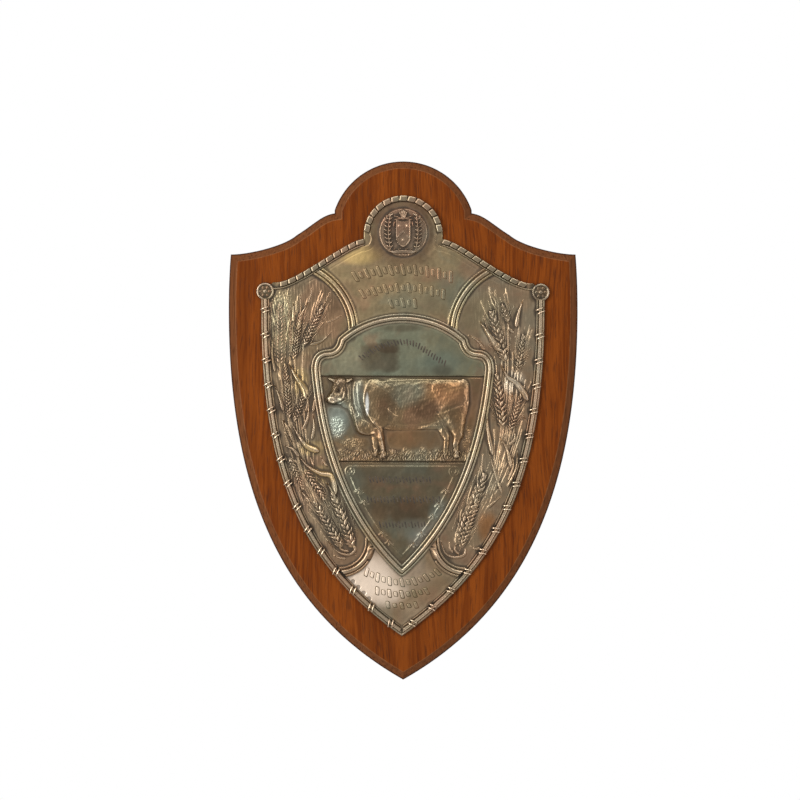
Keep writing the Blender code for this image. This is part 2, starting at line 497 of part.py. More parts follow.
def guides():
    g = Lines()
    g.add(mirror(plate_half()), True)
    ties, blocks, marks = tie_bars(), billet_bars(), mark_bars()

    lean, clear = math.tan(math.radians(TIE_SLANT)), TIE_W / 2 + 0.9
    for s, path in zip((-1, 1), SIDES[::-1]):
        end = float(np.hypot(*np.diff(path, axis=0).T).sum())
        ties_at = list(runs(path, TIE_PITCH, TIE_FIRST))
        for start, stop in zip([-9.0] + ties_at, ties_at + [end]):
            lo, hi = max(start + clear, 1.0), stop - clear if stop < end else end - 5.0
            at = [r for r in np.linspace(lo, hi, 2 if hi - lo < 7 else 3)] if hi > lo + 1 else []
            for d in (1.0, 2.0, 3.7, 5.6, BAND + 0.2):
                line = []
                for r in at:
                    shift = (d - BAND / 2) * lean * (1 if r in (lo, hi) else 0)
                    c, a = place_on(path, r + shift)
                    line.append(c + np.array((math.sin(a), -math.cos(a))) * d * s)
                if line:
                    g.add(line)
    for centre, angle, size, wide in ties:
        g.bar(np.array(centre), angle, size, wide, 0.8)
    for centre, angle, size, wide in blocks:
        g.bar(np.array(centre), angle, size, wide, 1.1)
    for centre, angle, size, wide in marks:
        g.bar(np.array(centre), angle, size, wide, 1.1)
    for path in UPPERS + LOWERS:
        even = spaced(path, 6.5)
        for d in (-4.8, -2.4, -0.9, 0.9, 2.4, 4.8):
            g.add(shift_path(even, d)[1:-1])
    half = frame_half()
    for d in (-4.15, -2.2, -0.8, 0.8, 2.2, 4.15):
        g.add(inset(mirror(half), d), True)
    for s in (-1, 1):
        c = (ROSETTE[0] * s, ROSETTE[1])
        for r in (1.3, 2.7, 5.4):
            g.add(turn(c, r, 0, 360, 12)[:-1], True)
        g.points.append(c)
        for k in range(5):
            z = 154.5 + 6.2 * k
            g.blob(s * 10.5, z, 1.2, s * 16.2, z + 3.6, 2.0, 0.0, 3.0)
            g.add([(s * 10.5, z), (s * 16.2, z + 3.6)])
    for r, n in ((MEDAL_R, 24), (MEDAL_R - 3, 20)):
        g.add(turn((0, MEDAL_Z), r, 0, 360, n)[:-1], True)
    for grow in (0.0, 1.0):
        x = 6.1 - grow
        g.add([(-x, 175.6 - grow), (x, 175.6 - grow), (x, 163.0), (x * 0.72, 155.5),
               (0, 151.9 + grow), (-x * 0.72, 155.5), (-x, 163.0)], True)
    g.add(turn((0, P_ARCH_Z), P_ARCH_R - ARCH_BAND, -8, 188, 24))
    for s, path in zip((-1, 1), SHOULDERS):
        for d in (BEAD_IN, SHOULDER_BAND):
            g.add(shift_path(spaced(path, 7.0), s * d)[1:-1])
    for z in (OX_TOP - 1.4, OX_TOP + 1.4, OX_LOW - 1.4, OX_LOW + 1.4):
        g.add([(x, z) for x in np.linspace(-62, 62, 14)])
    for x0, z0, x1, z1, w, up in EARS:
        ear_guides(g, x0, z0, x1, z1, w)
    for x0, z0, x1, z1, w in LEAVES:
        d = np.array((x1 - x0, z1 - z0)) / math.hypot(x1 - x0, z1 - z0)
        v = np.array((-d[1], d[0])) * w * 0.42
        a, b = np.array((x0, z0)), np.array((x1, z1))
        g.add([a - d * w * 0.3, a + v, b + v * 0.4, b + d * w * 0.2, b - v * 0.4, a - v], True)
        g.add([a, b])
    for wide, up, *points in FOLDS:
        g.add(points)
    for k, part in enumerate(OX):
        rest = [o for i, o in enumerate(OX) if i != k]
        for level, step in ((0.0, 3.6), (0.3, 4.2)):
            def free(q, level=level, rest=rest):
                return ~np.any([blob(q, *o[:6]) > level + 0.03 for o in rest], axis=0)
            fresh = Lines()
            fresh.blob(*part[:6], level, step, free)
            points = np.array(fresh.points)
            keep = free(points)
            number = np.cumsum(keep) - 1 + len(g.points)
            g.points += [tuple(q) for q in points[keep]]
            g.edges += [(number[i], number[j]) for i, j in fresh.edges if keep[i] and keep[j]]
    return g


def plate_mesh():
    g = guides()
    loop = mirror(plate_half())
    shut = np.vstack([loop, loop[:1]])
    points = np.array(g.points)
    ok = inside(loop, points) & (along(shut, points, 2.0)[0] > 0.45)
    ok[:len(loop)] = True
    index = np.cumsum(ok) - 1
    edges = [(index[a], index[b]) for a, b in g.edges if ok[a] and ok[b]]
    points = points[ok]
    lo, hi = points.min(0), points.max(0)
    step = 0.75
    gx, gz = np.meshgrid(np.arange(lo[0], hi[0], step), np.arange(lo[1], hi[1], step))
    grid = np.stack([gx.ravel(), gz.ravel()], axis=1)
    grid = grid[inside(loop, grid) & (along(shut, grid, 1.5)[0] > 1.0)]
    cell = {(int(round((x - lo[0]) / step)), int(round((z - lo[1]) / step))): k
            for k, (x, z) in enumerate(grid)}
    truth = relief(grid)
    rim_faces = len(loop) * 3
    extra = np.zeros((0, 2))
    while True:
        at, tri = triangulate(np.vstack([points, extra]), edges, loop)
        high = relief(at)
        room = (FACES - rim_faces - len(tri)) // 2
        if room < 40:
            break
        picks = []
        for t in tri:
            a, b, c = at[t]
            x0, z0 = (np.minimum(np.minimum(a, b), c) - lo) / step
            x1, z1 = (np.maximum(np.maximum(a, b), c) - lo) / step
            if (x1 - x0) * (z1 - z0) < 2:
                continue
            ids = [cell[i, j] for i in range(int(x0), int(x1) + 2)
                   for j in range(int(z0), int(z1) + 2) if (i, j) in cell]
            if not ids:
                continue
            q = grid[ids] - a
            m = np.linalg.inv(np.stack([b - a, c - a], axis=1))
            u, v = (q @ m.T).T
            hit = (u > 0.08) & (v > 0.08) & (u + v < 0.92)
            if not hit.any():
                continue
            ids = np.array(ids)[hit]
            u, v = u[hit], v[hit]
            flat = high[t[0]] * (1 - u - v) + high[t[1]] * u + high[t[2]] * v
            miss = np.abs(flat - truth[ids])
            k = int(np.argmax(miss))
            picks.append((float(miss.sum()) + 2 * float(miss[k]), tuple(grid[ids[k]])))
        picks.sort(reverse=True)
        share = max(40, min(room, len(picks) // 6))
        extra = np.vstack([extra, [q for _, q in picks[:share]]])
    return loop, at, tri, high


def mesh_object(name, verts, faces, colour, rough, metal, soft=None):
    data = bpy.data.meshes.new(name)
    data.from_pydata([tuple(c * MM for c in v) for v in verts], [], [tuple(map(int, f)) for f in faces])
    data.update()
    ob = bpy.data.objects.new(name, data)
    bpy.context.scene.collection.objects.link(ob)
    mat = bpy.data.materials.new(name + "_finish")
    mat.use_nodes = True
    shader = mat.node_tree.nodes["Principled BSDF"]
    shader.inputs["Base Color"].default_value = (*colour, 1.0)
    shader.inputs["Roughness"].default_value = rough
    shader.inputs["Metallic"].default_value = metal
    data.materials.append(mat)
    if soft:
        data.shade_smooth()
        data.set_sharp_from_angle(angle=math.radians(soft))
    return ob


def bridge(a, b, n):
    """Triangles between two rings of n vertices whose first indices are a and b."""
    out = []
    for k in range(n):
        j = (k + 1) % n
        out += [(a + k, b + j, a + j), (a + k, b + k, b + j)]
    return out


def build_board():
    loop = mirror(board_half())
    n = len(loop)
    rings = ((BACK_ROUND, 0.0), (0.0, BACK_ROUND), (0.0, BOARD_T - BEVEL_D - EDGE_ROUND),
             (EDGE_ROUND * 0.55, BOARD_T - BEVEL_D), (BEVEL_W, BOARD_T))
    verts, faces = [], []
    for cut, y in rings:
        verts += [(x, -y, z) for x, z in inset(loop, cut)]
    for k in range(len(rings) - 1):
        faces += bridge(k * n, (k + 1) * n, n)
    for first, flip in ((0, True), ((len(rings) - 1) * n, False)):
        ring = np.array([(v[0], v[2]) for v in verts[first:first + n]])
        at, tri = triangulate(ring, [(k, (k + 1) % n) for k in range(n)], ring)
        match = [int(np.argmin(np.hypot(*(ring - q).T))) + first for q in at]
        faces += [tuple(match[i] for i in (t[::-1] if flip else t)) for t in tri]
    return mesh_object("backboard", verts, faces, (0.22, 0.062, 0.016), 0.3, 0.0, 25)


def build_plate():
    loop, at, tri, high = plate_mesh()
    n = len(loop)
    count = {}
    for t in tri:
        for i, j in ((t[0], t[1]), (t[1], t[2]), (t[2], t[0])):
            count[(int(i), int(j))] = True
    follow = {i: j for i, j in count if (j, i) not in count}
    start = next(iter(follow))
    ring = [start]
    while follow[ring[-1]] != start:
        ring.append(follow[ring[-1]])
    if len(ring) != len(follow):
        raise SystemExit("the plate's rim isn't one loop")
    back = at[ring]
    low, under = triangulate(back, [(k, (k + 1) % len(ring)) for k in range(len(ring))], back)
    match = [int(np.argmin(np.hypot(*(back - q).T))) for q in low]
    c, s = math.cos(TILT), math.sin(TILT)
    seat = BOARD_T + GAP

    def place(q, up):
        x, z = q[0], q[1] - TILT_Z
        return (x * c + z * s, -(seat + up), TILT_Z + z * c - x * s)

    verts = [place(q, h) for q, h in zip(at, high)] + [place(q, 0.0) for q in back]
    first = len(at)
    faces = [tuple(t) for t in tri]
    for k in range(len(ring)):
        j = (k + 1) % len(ring)
        faces += [(ring[j], ring[k], first + k), (ring[j], first + k, first + j)]
    faces += [tuple(first + match[i] for i in t[::-1]) for t in under]
    print("plate triangles", len(faces), "height", round(float(high.max()), 2))
    return mesh_object("embossed_plate", verts, faces, (0.42, 0.36, 0.25), 0.34, 1.0, 38)


for ob in list(bpy.data.objects):
    bpy.data.objects.remove(ob)
build_board()
build_plate()
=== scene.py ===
import json
import math

import bmesh
import bpy
import numpy as np
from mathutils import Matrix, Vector
from mathutils.geometry import delaunay_2d_cdt

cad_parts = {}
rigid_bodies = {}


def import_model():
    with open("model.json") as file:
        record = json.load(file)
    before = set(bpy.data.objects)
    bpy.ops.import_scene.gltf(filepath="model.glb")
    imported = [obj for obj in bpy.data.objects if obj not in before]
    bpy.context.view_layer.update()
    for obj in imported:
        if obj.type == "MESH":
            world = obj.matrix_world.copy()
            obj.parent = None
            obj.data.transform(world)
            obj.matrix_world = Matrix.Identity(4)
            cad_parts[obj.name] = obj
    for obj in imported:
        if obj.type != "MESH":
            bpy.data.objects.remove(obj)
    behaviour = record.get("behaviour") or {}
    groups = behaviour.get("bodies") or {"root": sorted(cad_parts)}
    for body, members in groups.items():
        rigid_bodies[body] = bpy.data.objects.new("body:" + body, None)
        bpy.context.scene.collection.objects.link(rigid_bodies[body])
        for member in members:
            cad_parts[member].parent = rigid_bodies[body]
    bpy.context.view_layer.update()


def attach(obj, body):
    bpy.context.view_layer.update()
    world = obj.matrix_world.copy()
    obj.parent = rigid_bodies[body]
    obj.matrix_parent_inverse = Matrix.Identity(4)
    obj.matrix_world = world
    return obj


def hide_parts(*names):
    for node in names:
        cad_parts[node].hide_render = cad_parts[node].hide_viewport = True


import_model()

MM = 0.001

# back board, millimetres
BOARD_T, BEVEL_W, BEVEL_D, BACK_ROUND, EDGE_ROUND = 20.0, 6.5, 5.5, 1.0, 0.9
ARCH_Z, ARCH_R = 164.3, 63.9
NOTCH = (60.4, 182.5)
SHOULDER = (NOTCH, (71.9, 180.9), (78.8, 172.5), (93.7, 163.3))
SHOULDER_LOW = ((93.7, 163.3), (105.1, 153.3), (137.1, 146.1), (151.9, 146.2))
SIDE_TOP = ((151.9, 146.2), (153.2, 130.0), (153.7, 115.0), (153.7, 96.7))
SIDE = ((153.7, 96.7), (153.7, -53.1), (112.9, -164.8), (0.0, -228.5))

# embossed plate
GAP, TILT, TILT_Z = 0.3, math.radians(0.2), 162.8
SEAT = BOARD_T + GAP
FIELD, EDGE, DOME = 2.0, 1.2, 1.3
DOME_WIDE, DOME_TALL, DOME_Z = 118, 185, -5
P_ARCH_Z, P_ARCH_R, ARCH_BAND = 162.8, 34.8, 5.2
P_SHOULDER = ((34.6, 159.2), (48.5, 159.9), (96.4, 118.4), (114.0, 121.0))
SHOULDER_BAND = 6.4
ROSETTE, ROSETTE_R = (121.0, 112.9), 7.9
P_SIDE = ((124.5, 97.0), (124.5, -58.8), (82.0, -132.3), (0.0, -189.5))
BAND = 7.4
TIE_PITCH, TIE_SLANT, TIE_FIRST = 22.3, 24, 9.3
BILLET, ARCH_SWEEP = 7.6, 172
FRAME = (((0.0, 89.7), (13.0, 89.7), (35.2, 86.3), (53.0, 70.0)),
         ((53.0, 70.0), (55.0, 60.5), (60.0, 58.2), (66.0, 58.0)),
         ((66.0, 58.0), (73.0, 57.6), (76.4, 53.0), (76.3, 44.2)),
         ((76.3, 44.2), (70.7, -12.1), (54.8, -81.1), (0.0, -132.2)))
FRAME_W = 8.3
UPPER = ((75.8, 131.5), (50.1, 117.3), (42.5, 91.3), (43.5, 78.4))
LOWER_C, LOWER_R = (54.8, -106.4), 26.9
PART_W, SEAM = 9.6, 4.9
OX_TOP, OX_LOW = 38.6, -36.2
MEDAL_Z, MEDAL_R, MEDAL_SHIELD = 165.0, 22.3, 6.7
# where the mesh has lines of its own: either side of the frame's middle and of each partition's middle
RAILS = (0.0, 0.5, 1.0, 1.4, 1.7, 1.9, 2.0, 2.25, 2.45, 2.8, 3.2, 3.6, 3.95)
RIBS = (0.0, 0.75, 1.4, 1.9, 2.3, 2.7, 3.15, 3.6, 4.05, 4.5)
# half widths of the top and foot zones past their seams, and a height beyond the plate
TOP_REACH, FOOT_REACH, BEYOND = 92.0, 72.0, 300.0

# wheat ears: foot x, z, tip x, z, width, height
EARS = ((-107.6, 49.5, -107.7, 102.0, 13.1, 1.5), (-95.3, 55.6, -90.1, 94.1, 7.0, 1.9),
        (-86.5, 67.0, -70.9, 99.4, 7.9, 2.0), (-99.5, 2.2, -103.1, 47.7, 7.0, 1.7),
        (-94.2, 0.4, -85.5, 25.8, 7.0, 1.9), (-98.5, -34.6, -87.0, -60.8, 7.0, 1.2),
        (-84.4, -45.1, -67.7, -69.6, 8.8, 1.8), (-43.9, -109.0, -60.7, -65.2, 11.4, 2.3),
        (-54.4, -109.0, -76.4, -72.2, 10.5, 2.0), (89.5, 54.7, 78.0, 95.0, 11.4, 2.1),
        (92.0, 88.0, 87.6, 101.1, 7.0, 1.7), (100.9, 44.2, 106.0, 74.9, 7.9, 1.0),
        (87.9, -3.9, 82.5, 39.8, 10.5, 2.0), (94.9, -6.6, 103.6, 22.3, 7.9, 1.6),
        (48.9, -104.6, 72.3, -47.7, 12.3, 2.2), (52.4, -109.0, 66.3, -69.6, 9.6, 1.6))
# leaf blades, broad at their lower end: bend points x, z, then width
BLADES = (((-96.3, 102.9), (-96.6, 94.0), (-96.2, 86.2), 3.4),
          ((-91.8, 79.2), (-89.0, 92.0), (-83.2, 102.9), 4.4),
          ((-81.3, 66.1), (-71.0, 69.5), (-62.9, 77.5), 3.2),
          ((-84.0, 18.0), (-86.5, 27.5), (-93.0, 37.0), (-99.6, 48.7), 7.2),
          ((-84.6, 7.4), (-83.0, 15.0), (-83.8, 22.3), 3.5),
          ((-78.5, 7.0), (-76.8, 20.0), (-78.5, 33.1), 3.6),
          ((-87.2, -8.3), (-83.2, 2.0), (-82.0, 13.6), 3.5),
          ((-79.3, -17.1), (-77.6, -6.0), (-78.5, 4.8), 3.5),
          ((-95.9, -18.8), (-99.5, -8.0), (-104.7, 0.4), 3.5),
          ((-90.6, -32.0), (-96.0, -25.5), (-103.7, -22.3), 4.2),
          ((-96.8, -3.9), (-90.5, -15.0), (-83.6, -23.2), (-73.1, -27.6), 6.0),
          ((-92.0, -31.0), (-82.5, -41.0), (-72.2, -46.8), (-62.0, -50.0), (-59.0, -67.0), 6.6),
          ((-89.6, -61.7), (-86.0, -66.0), (-80.8, -72.2), 3.4),
          ((-66.7, -54.7), (-62.0, -62.0), (-58.2, -72.0), 4.6),
          ((-71.5, -32.0), (-69.5, -36.0), (-66.0, -40.5), 2.6),
          ((-81.0, -31.0), (-79.8, -35.5), (-78.0, -40.0), 2.6),
          ((-104.5, 8.0), (-108.0, 20.0), (-112.5, 31.0), 3.4),
          ((-101.5, -36.0), (-106.0, -28.0), (-112.0, -18.0), 3.2),
          ((-74.0, 40.0), (-72.5, 52.0), (-74.5, 63.0), 3.2),
          ((-112.0, 42.0), (-114.5, 58.0), (-114.0, 74.0), 2.8),
          ((67.5, 87.2), (77.2, 73.1), (85.1, 60.7), 6.0),
          ((76.2, 114.3), (78.2, 105.0), (82.3, 96.7), 2.4),
          ((97.3, 77.5), (93.5, 81.0), (92.0, 86.4), 3.4),
          ((99.5, 82.0), (101.5, 94.0), (105.5, 106.0), 4.8),
          ((85.9, 48.7), (92.5, 38.0), (100.1, 32.8), (109.9, 17.8), 6.6),
          ((79.3, -30.2), (75.0, -8.0), (73.9, 13.6), 4.8),
          ((85.3, -14.4), (91.5, -25.0), (95.8, -42.1), 4.8),
          ((94.1, -21.4), (98.5, -16.0), (98.4, -8.3), 3.5),
          ((75.5, -26.0), (80.8, -45.0), (87.2, -63.5), 3.0),
          ((87.0, -66.0), (81.0, -71.0), (73.8, -76.5), 3.2),
          ((96.2, -29.5), (97.2, -39.5), (93.0, -53.0), 3.0),
          ((106.0, 4.0), (110.5, -4.0), (112.5, -16.0), 3.2),
          ((74.0, 24.0), (72.0, 38.0), (74.5, 52.0), 3.4),
          ((101.0, -26.0), (99.5, -42.0), (92.0, -58.0), 2.8),
          ((72.0, 62.0), (66.0, 70.0), (57.5, 75.0), 3.0),
          ((-65.8, -105.5), (-57.1, -115.1), (-47.5, -118.2), (-41.3, -114.2), (-43.1, -108.0), 3.0),
          ((-55.3, -106.4), (-53.6, -113.3), (-46.6, -115.2), 2.4),
          ((-48.5, -107.5), (-46.0, -111.0), (-42.0, -110.6), 2.0),
          ((-59.7, -118.6), (-55.0, -121.0), (-49.0, -121.6), 2.4),
          ((34.0, -105.5), (37.5, -116.0), (45.4, -120.0), (54.1, -118.2), (55.9, -112.4), 3.0),
          ((48.0, -107.2), (46.2, -113.0), (50.0, -117.2), 2.4),
          ((41.5, -106.5), (41.8, -112.0), (44.5, -116.0), 2.2),
          ((60.0, -110.2), (64.0, -112.6), (68.5, -111.6), 2.6))
# fine stems: x, z, x, z
STEMS = ((76.0, 116.9, 78.6, 102.0), (-91.5, -19.7, -87.1, -34.6), (-88.6, -25.5, -84.6, -37.0),
         (-70.9, 99.4, -64.0, 112.0), (-90.1, 94.1, -90.5, 110.0), (-83.0, 104.0, -80.0, 116.0),
         (-66.0, 86.0, -54.0, 92.0), (-98.0, 60.0, -97.0, 84.0), (96.3, 59.9, 98.8, 39.0),
         (100.0, 44.0, 96.0, 20.0), (-105.5, -1.0, -96.7, -21.4), (-103.0, -3.0, -94.2, -22.0),
         (-99.5, 31.0, -96.0, 2.0), (70.7, -30.0, 70.9, -52.0), (74.0, 56.0, 78.0, 30.0),
         (72.0, 20.0, 76.0, -20.0), (103.6, 22.3, 108.0, 36.0), (82.5, 39.8, 80.5, 56.0))
# the sheaves' middle line on the right, x at z, mirrored for the left
SHEAF = ((-108.0, -75.0, -45.0, -15.0, 20.0, 60.0, 110.0), (54.0, 74.0, 86.0, 92.0, 96.0, 98.0, 98.0))
# rows of raised strokes on top and at the foot: half width, z, arch's rise, stroke's height
ROWS = ((42.0, 132.4, -6.2, 9.6), (35.5, 116.4, -5.6, 8.6), (10.6, 103.4, -0.8, 8.2),
        (31.0, -142.2, 9.2, 7.0), (21.6, -152.6, 3.0, 6.4), (12.2, -162.6, 0.8, 5.4))
STROKE_PITCH, STROKE_WIDE, STROKE_SKEW = 5.4, 2.6, 0.25
# ox, facing left: x, z, radius, x, z, radius, height over its panel
OX = ((-10.0, 14.4, 23.0, 34.0, 14.6, 22.4, 2.9), (34.0, 26.0, 11.3, 46.5, 25.5, 11.6, 3.1),
      (44.0, 14.0, 15.0, 46.0, 0.0, 9.5, 3.5), (52.0, 31.2, 6.0, 51.8, 20.0, 6.5, 3.0),
      (-24.0, 20.0, 17.2, -22.0, 3.0, 11.5, 3.5), (-36.0, 21.0, 16.2, -46.0, 22.0, 12.5, 3.0),
      (-54.6, 30.6, 7.6, -55.5, 25.0, 8.6, 3.9), (-60.3, 20.0, 6.2, -55.5, 20.0, 6.8, 3.9),
      (-64.4, 18.0, 3.5, -60.5, 16.8, 3.6, 4.2), (-52.5, 20.5, 6.8, -49.0, 20.5, 5.8, 3.5),
      (-42.5, 12.0, 6.5, -36.5, -1.5, 7.0, 2.6), (-34.5, -5.5, 7.6, -27.0, -5.0, 8.5, 3.0),
      (-25.0, -3.0, 8.0, -19.6, -15.0, 3.8, 3.1), (-19.6, -15.0, 3.5, -17.0, -26.5, 2.5, 2.6),
      (-17.0, -27.5, 2.6, -17.4, -30.0, 3.1, 2.6), (-24.5, -10.0, 4.2, -23.4, -29.0, 2.3, 1.6),
      (46.0, -1.0, 9.5, 48.5, -12.0, 5.4, 3.1), (48.7, -12.0, 4.6, 46.6, -20.0, 3.2, 2.6),
      (46.6, -20.0, 3.0, 47.6, -28.0, 2.5, 2.4), (47.6, -28.0, 2.7, 47.0, -30.3, 3.2, 2.4),
      (35.0, -5.0, 5.5, 38.6, -16.0, 3.1, 1.7), (38.6, -16.0, 2.9, 37.4, -29.0, 2.2, 1.5),
      (-60.8, 34.8, 2.3, -64.6, 36.6, 1.2, 3.3), (-48.0, 34.8, 2.4, -44.8, 35.8, 1.4, 3.2))
# creases cut in the ox: width, depth, then bend points
OX_CUTS = ((1.2, 0.8, (-43.8, 35.0), (-44.6, 26.0), (-43.4, 14.0), (-39.6, 5.0)),
           (1.0, 0.5, (-40.3, 36.5), (-40.8, 24.0), (-38.2, 10.0), (-34.5, 1.0)),
           (0.8, 0.3, (-37.5, 37.0), (-38.0, 26.0), (-36.5, 14.0)),
           (1.4, 0.8, (-34.2, 37.5), (-36.6, 22.0), (-34.6, 8.0), (-29.0, -1.5), (-24.5, -5.5)),
           (3.2, 0.35, (-8.0, 33.0), (-6.5, 18.0), (-9.0, 4.0), (-13.0, -4.0)),
           (1.5, 0.8, (30.4, 7.5), (35.4, -0.5), (40.2, -9.5), (43.2, -20.0)),
           (1.3, 0.45, (-12.0, -3.6), (4.0, -5.6), (20.0, -3.4), (30.0, -0.5)),
           (1.2, 0.3, (36.0, 7.8), (44.0, 11.4), (52.0, 13.8)),
           (0.9, 1.0, (-67.2, 14.9), (-61.5, 14.2), (-55.0, 15.6), (-51.5, 17.8)),
           (1.0, 0.8, (-50.2, 31.5), (-48.8, 25.0), (-48.6, 17.5)),
           (0.8, 0.6, (-61.8, 31.5), (-62.6, 27.5), (-65.0, 22.5)),
           (0.8, 0.5, (-60.5, 29.6), (-57.5, 29.9), (-54.0, 28.2)))
# raised lips of the ox's outline: width, height, then bend points
OX_LIPS = ((2.4, 0.65, (-28.8, 37.5), (-33.6, 21.0), (-30.6, 6.0), (-25.0, -2.0)),
           (1.2, 0.6, (-25.0, -2.0), (-20.8, -8.0), (-18.4, -17.0), (-16.6, -26.0)),
           (1.1, 0.6, (31.8, 5.4), (37.4, -3.4), (42.0, -14.6), (44.9, -23.2)),
           (1.2, 0.5, (-15.0, -7.4), (-5.5, -9.0), (9.8, -8.8), (20.0, -6.2), (29.0, -4.6)),
           (1.0, 0.45, (-12.0, 9.8), (-10.0, 6.0), (-4.5, 3.4)),
           (1.0, 0.5, (-57.0, 31.5), (-59.6, 26.5), (-63.4, 21.4)),
           (1.1, 0.5, (-54.5, 17.2), (-51.5, 19.8), (-50.6, 24.0)),
           (1.1, 0.6, (-43.8, 11.0), (-40.9, -1.7), (-38.0, -9.4), (-31.3, -12.3), (-24.5, -11.4)),
           (1.1, 0.8, (53.4, 36.6), (57.2, 34.6), (58.2, 28.0), (57.8, 16.0), (57.0, 5.0), (56.6, -3.0)),
           (1.7, 0.4, (56.8, 0.0), (56.4, -6.5)), (1.2, 0.3, (-20.0, 34.0), (14.0, 36.0), (50.0, 35.4)))
# the ox's small knobs and dimples: x, z, radius, height
OX_KNOBS = ((-57.2, 26.4, 1.2, 1.7), (-57.2, 26.4, 3.0, -1.2), (-66.3, 17.3, 1.2, -1.5),
            (-61.6, 17.0, 1.1, -1.2), (-63.2, 21.4, 2.2, 0.45), (-53.8, 17.8, 2.6, 0.4),
            (-50.0, 25.5, 3.6, 0.4), (47.0, 29.0, 7.0, 0.4), (-26.0, 24.0, 6.0, 0.35),
            (24.0, 22.0, 12.0, -0.3), (2.0, 26.0, 10.0, -0.25), (39.0, 9.0, 6.5, 0.35),
            (19.4, 12.0, 8.0, 0.3), (-57.0, 34.6, 3.0, 0.45))
# sprigs on the tablet's edge: side, z
SPRIGS = ((-1, -60.0), (-1, -70.0), (1, -60.0), (1, -72.0), (1, -82.0), (-1, -98.0), (1, -98.0), (-1, -106.0),
          (1, -107.0))
# reeds of the side bands: distance from the edge, radius, height of the centre over the field
REEDS = ((1.15, 1.0, 0.15), (3.75, 1.95, 0.45), (3.05, 0.42, 2.10), (4.45, 0.42, 2.10), (6.6, 0.8, 0.25))


def cubic(c, n):
    """Points on a curve with four control points."""
    t = np.linspace(0.0, 1.0, n + 1)[:, None]
    a, b, d, e = (np.array(p, float) for p in c)
    return ((1 - t) ** 3) * a + 3 * (1 - t) ** 2 * t * b + 3 * (1 - t) * t * t * d + t ** 3 * e


def turn(centre, radius, start, stop, n):
    """Points on an arc between two angles in degrees."""
    a = np.radians(np.linspace(start, stop, n + 1))
    return np.stack([centre[0] + radius * np.cos(a), centre[1] + radius * np.sin(a)], axis=1)


def join(*runs):
    """Runs of points end to end, without doubled places."""
    p = np.concatenate([np.asarray(r, float) for r in runs])
    return p[np.append(True, np.hypot(*np.diff(p, axis=0).T) > 0.05)]


def mirror(half):
    """A closed loop from its right half, which runs from top centre to foot."""
    return np.concatenate([half, half[1:-1][::-1] * (-1, 1)])


def shut(loop):
    """A loop's points with the first one again at the end."""
    return np.vstack([loop, loop[:1]])


def plan(gx, gz):
    """Grids of x and z as one list of points."""
    return np.stack([gx.ravel(), gz.ravel()], axis=1)


def axis_of(x0, z0, x1, z1):
    """Start, direction, normal to its left and length of a straight line."""
    start, way = np.array((x0, z0), float), np.array((x1 - x0, z1 - z0), float)
    size = float(np.hypot(*way))
    way /= size
    return start, way, np.array((-way[1], way[0])), size


def length(path):
    return float(np.hypot(*np.diff(path, axis=0).T).sum())


def spaced(path, step):
    """A path's points at an even step, ends kept."""
    run = np.append(0.0, np.cumsum(np.hypot(*np.diff(path, axis=0).T)))
    at = np.linspace(0.0, run[-1], max(2, int(round(run[-1] / step)) + 1))
    return np.stack([np.interp(at, run, path[:, 0]), np.interp(at, run, path[:, 1])], axis=1)


def spaced_loop(loop, step):
    """A loop with points no further apart than a step, corners kept."""
    out = []
    for a, b in zip(loop, np.roll(loop, -1, 0)):
        n = max(1, int(np.hypot(*(b - a)) / step))
        out += [a + (b - a) * k / n for k in range(n)]
    return np.array(out)


def trimmed(path, first, last):
    """Part of a path between two lengths run along it."""
    run = np.append(0.0, np.cumsum(np.hypot(*np.diff(path, axis=0).T)))
    at = np.concatenate([[first], run[(run > first) & (run < last)], [last]])
    return np.stack([np.interp(at, run, path[:, 0]), np.interp(at, run, path[:, 1])], axis=1)


def bent(points, step=0.8):
    """A smooth path through a few bend points."""
    p = np.asarray(points, float)
    q = np.vstack([2 * p[0] - p[1], p, 2 * p[-1] - p[-2]])
    out = []
    for a, b, c, d in zip(q[:-3], q[1:-2], q[2:-1], q[3:]):
        n = max(2, int(np.hypot(*(c - b)) / step))
        t = np.linspace(0, 1, n, endpoint=False)[:, None]
        out.append(0.5 * (2 * b + (c - a) * t + (2 * a - 5 * b + 4 * c - d) * t * t
                          + (3 * b - a - 3 * c + d) * t ** 3))
    return np.vstack(out + [p[-1:]])


def normals(path, closed=False):
    """Unit normals to the left of the way a path runs, and mitre factors."""
    if closed:
        before, after = path - np.roll(path, 1, 0), np.roll(path, -1, 0) - path
    else:
        step = np.diff(path, axis=0)
        before, after = np.vstack([step[:1], step]), np.vstack([step, step[-1:]])
    before = before / np.linalg.norm(before, axis=1)[:, None]
    after = after / np.linalg.norm(after, axis=1)[:, None]
    mean = before + after
    mean /= np.linalg.norm(mean, axis=1)[:, None]
    return np.stack([-mean[:, 1], mean[:, 0]], axis=1), 1.0 / np.maximum(0.35, (mean * after).sum(1))


def inset(loop, by):
    """A clockwise loop moved inwards."""
    n, m = normals(loop, True)
    return loop - n * (m * by)[:, None]


def shift_path(path, by):
    """A path moved to the left of its way."""
    n, m = normals(path)
    return path + n * (m * by)[:, None]


def inside(loop, p):
    """Which points lie inside a loop."""
    hit = np.zeros(len(p), bool)
    for (x0, z0), (x1, z1) in zip(loop, np.roll(loop, -1, 0)):
        if z0 != z1:
            w = np.where((p[:, 1] > min(z0, z1)) & (p[:, 1] <= max(z0, z1)))[0]
            hit[w] ^= p[w, 0] < x0 + (p[w, 1] - z0) * (x1 - x0) / (z1 - z0)
    return hit


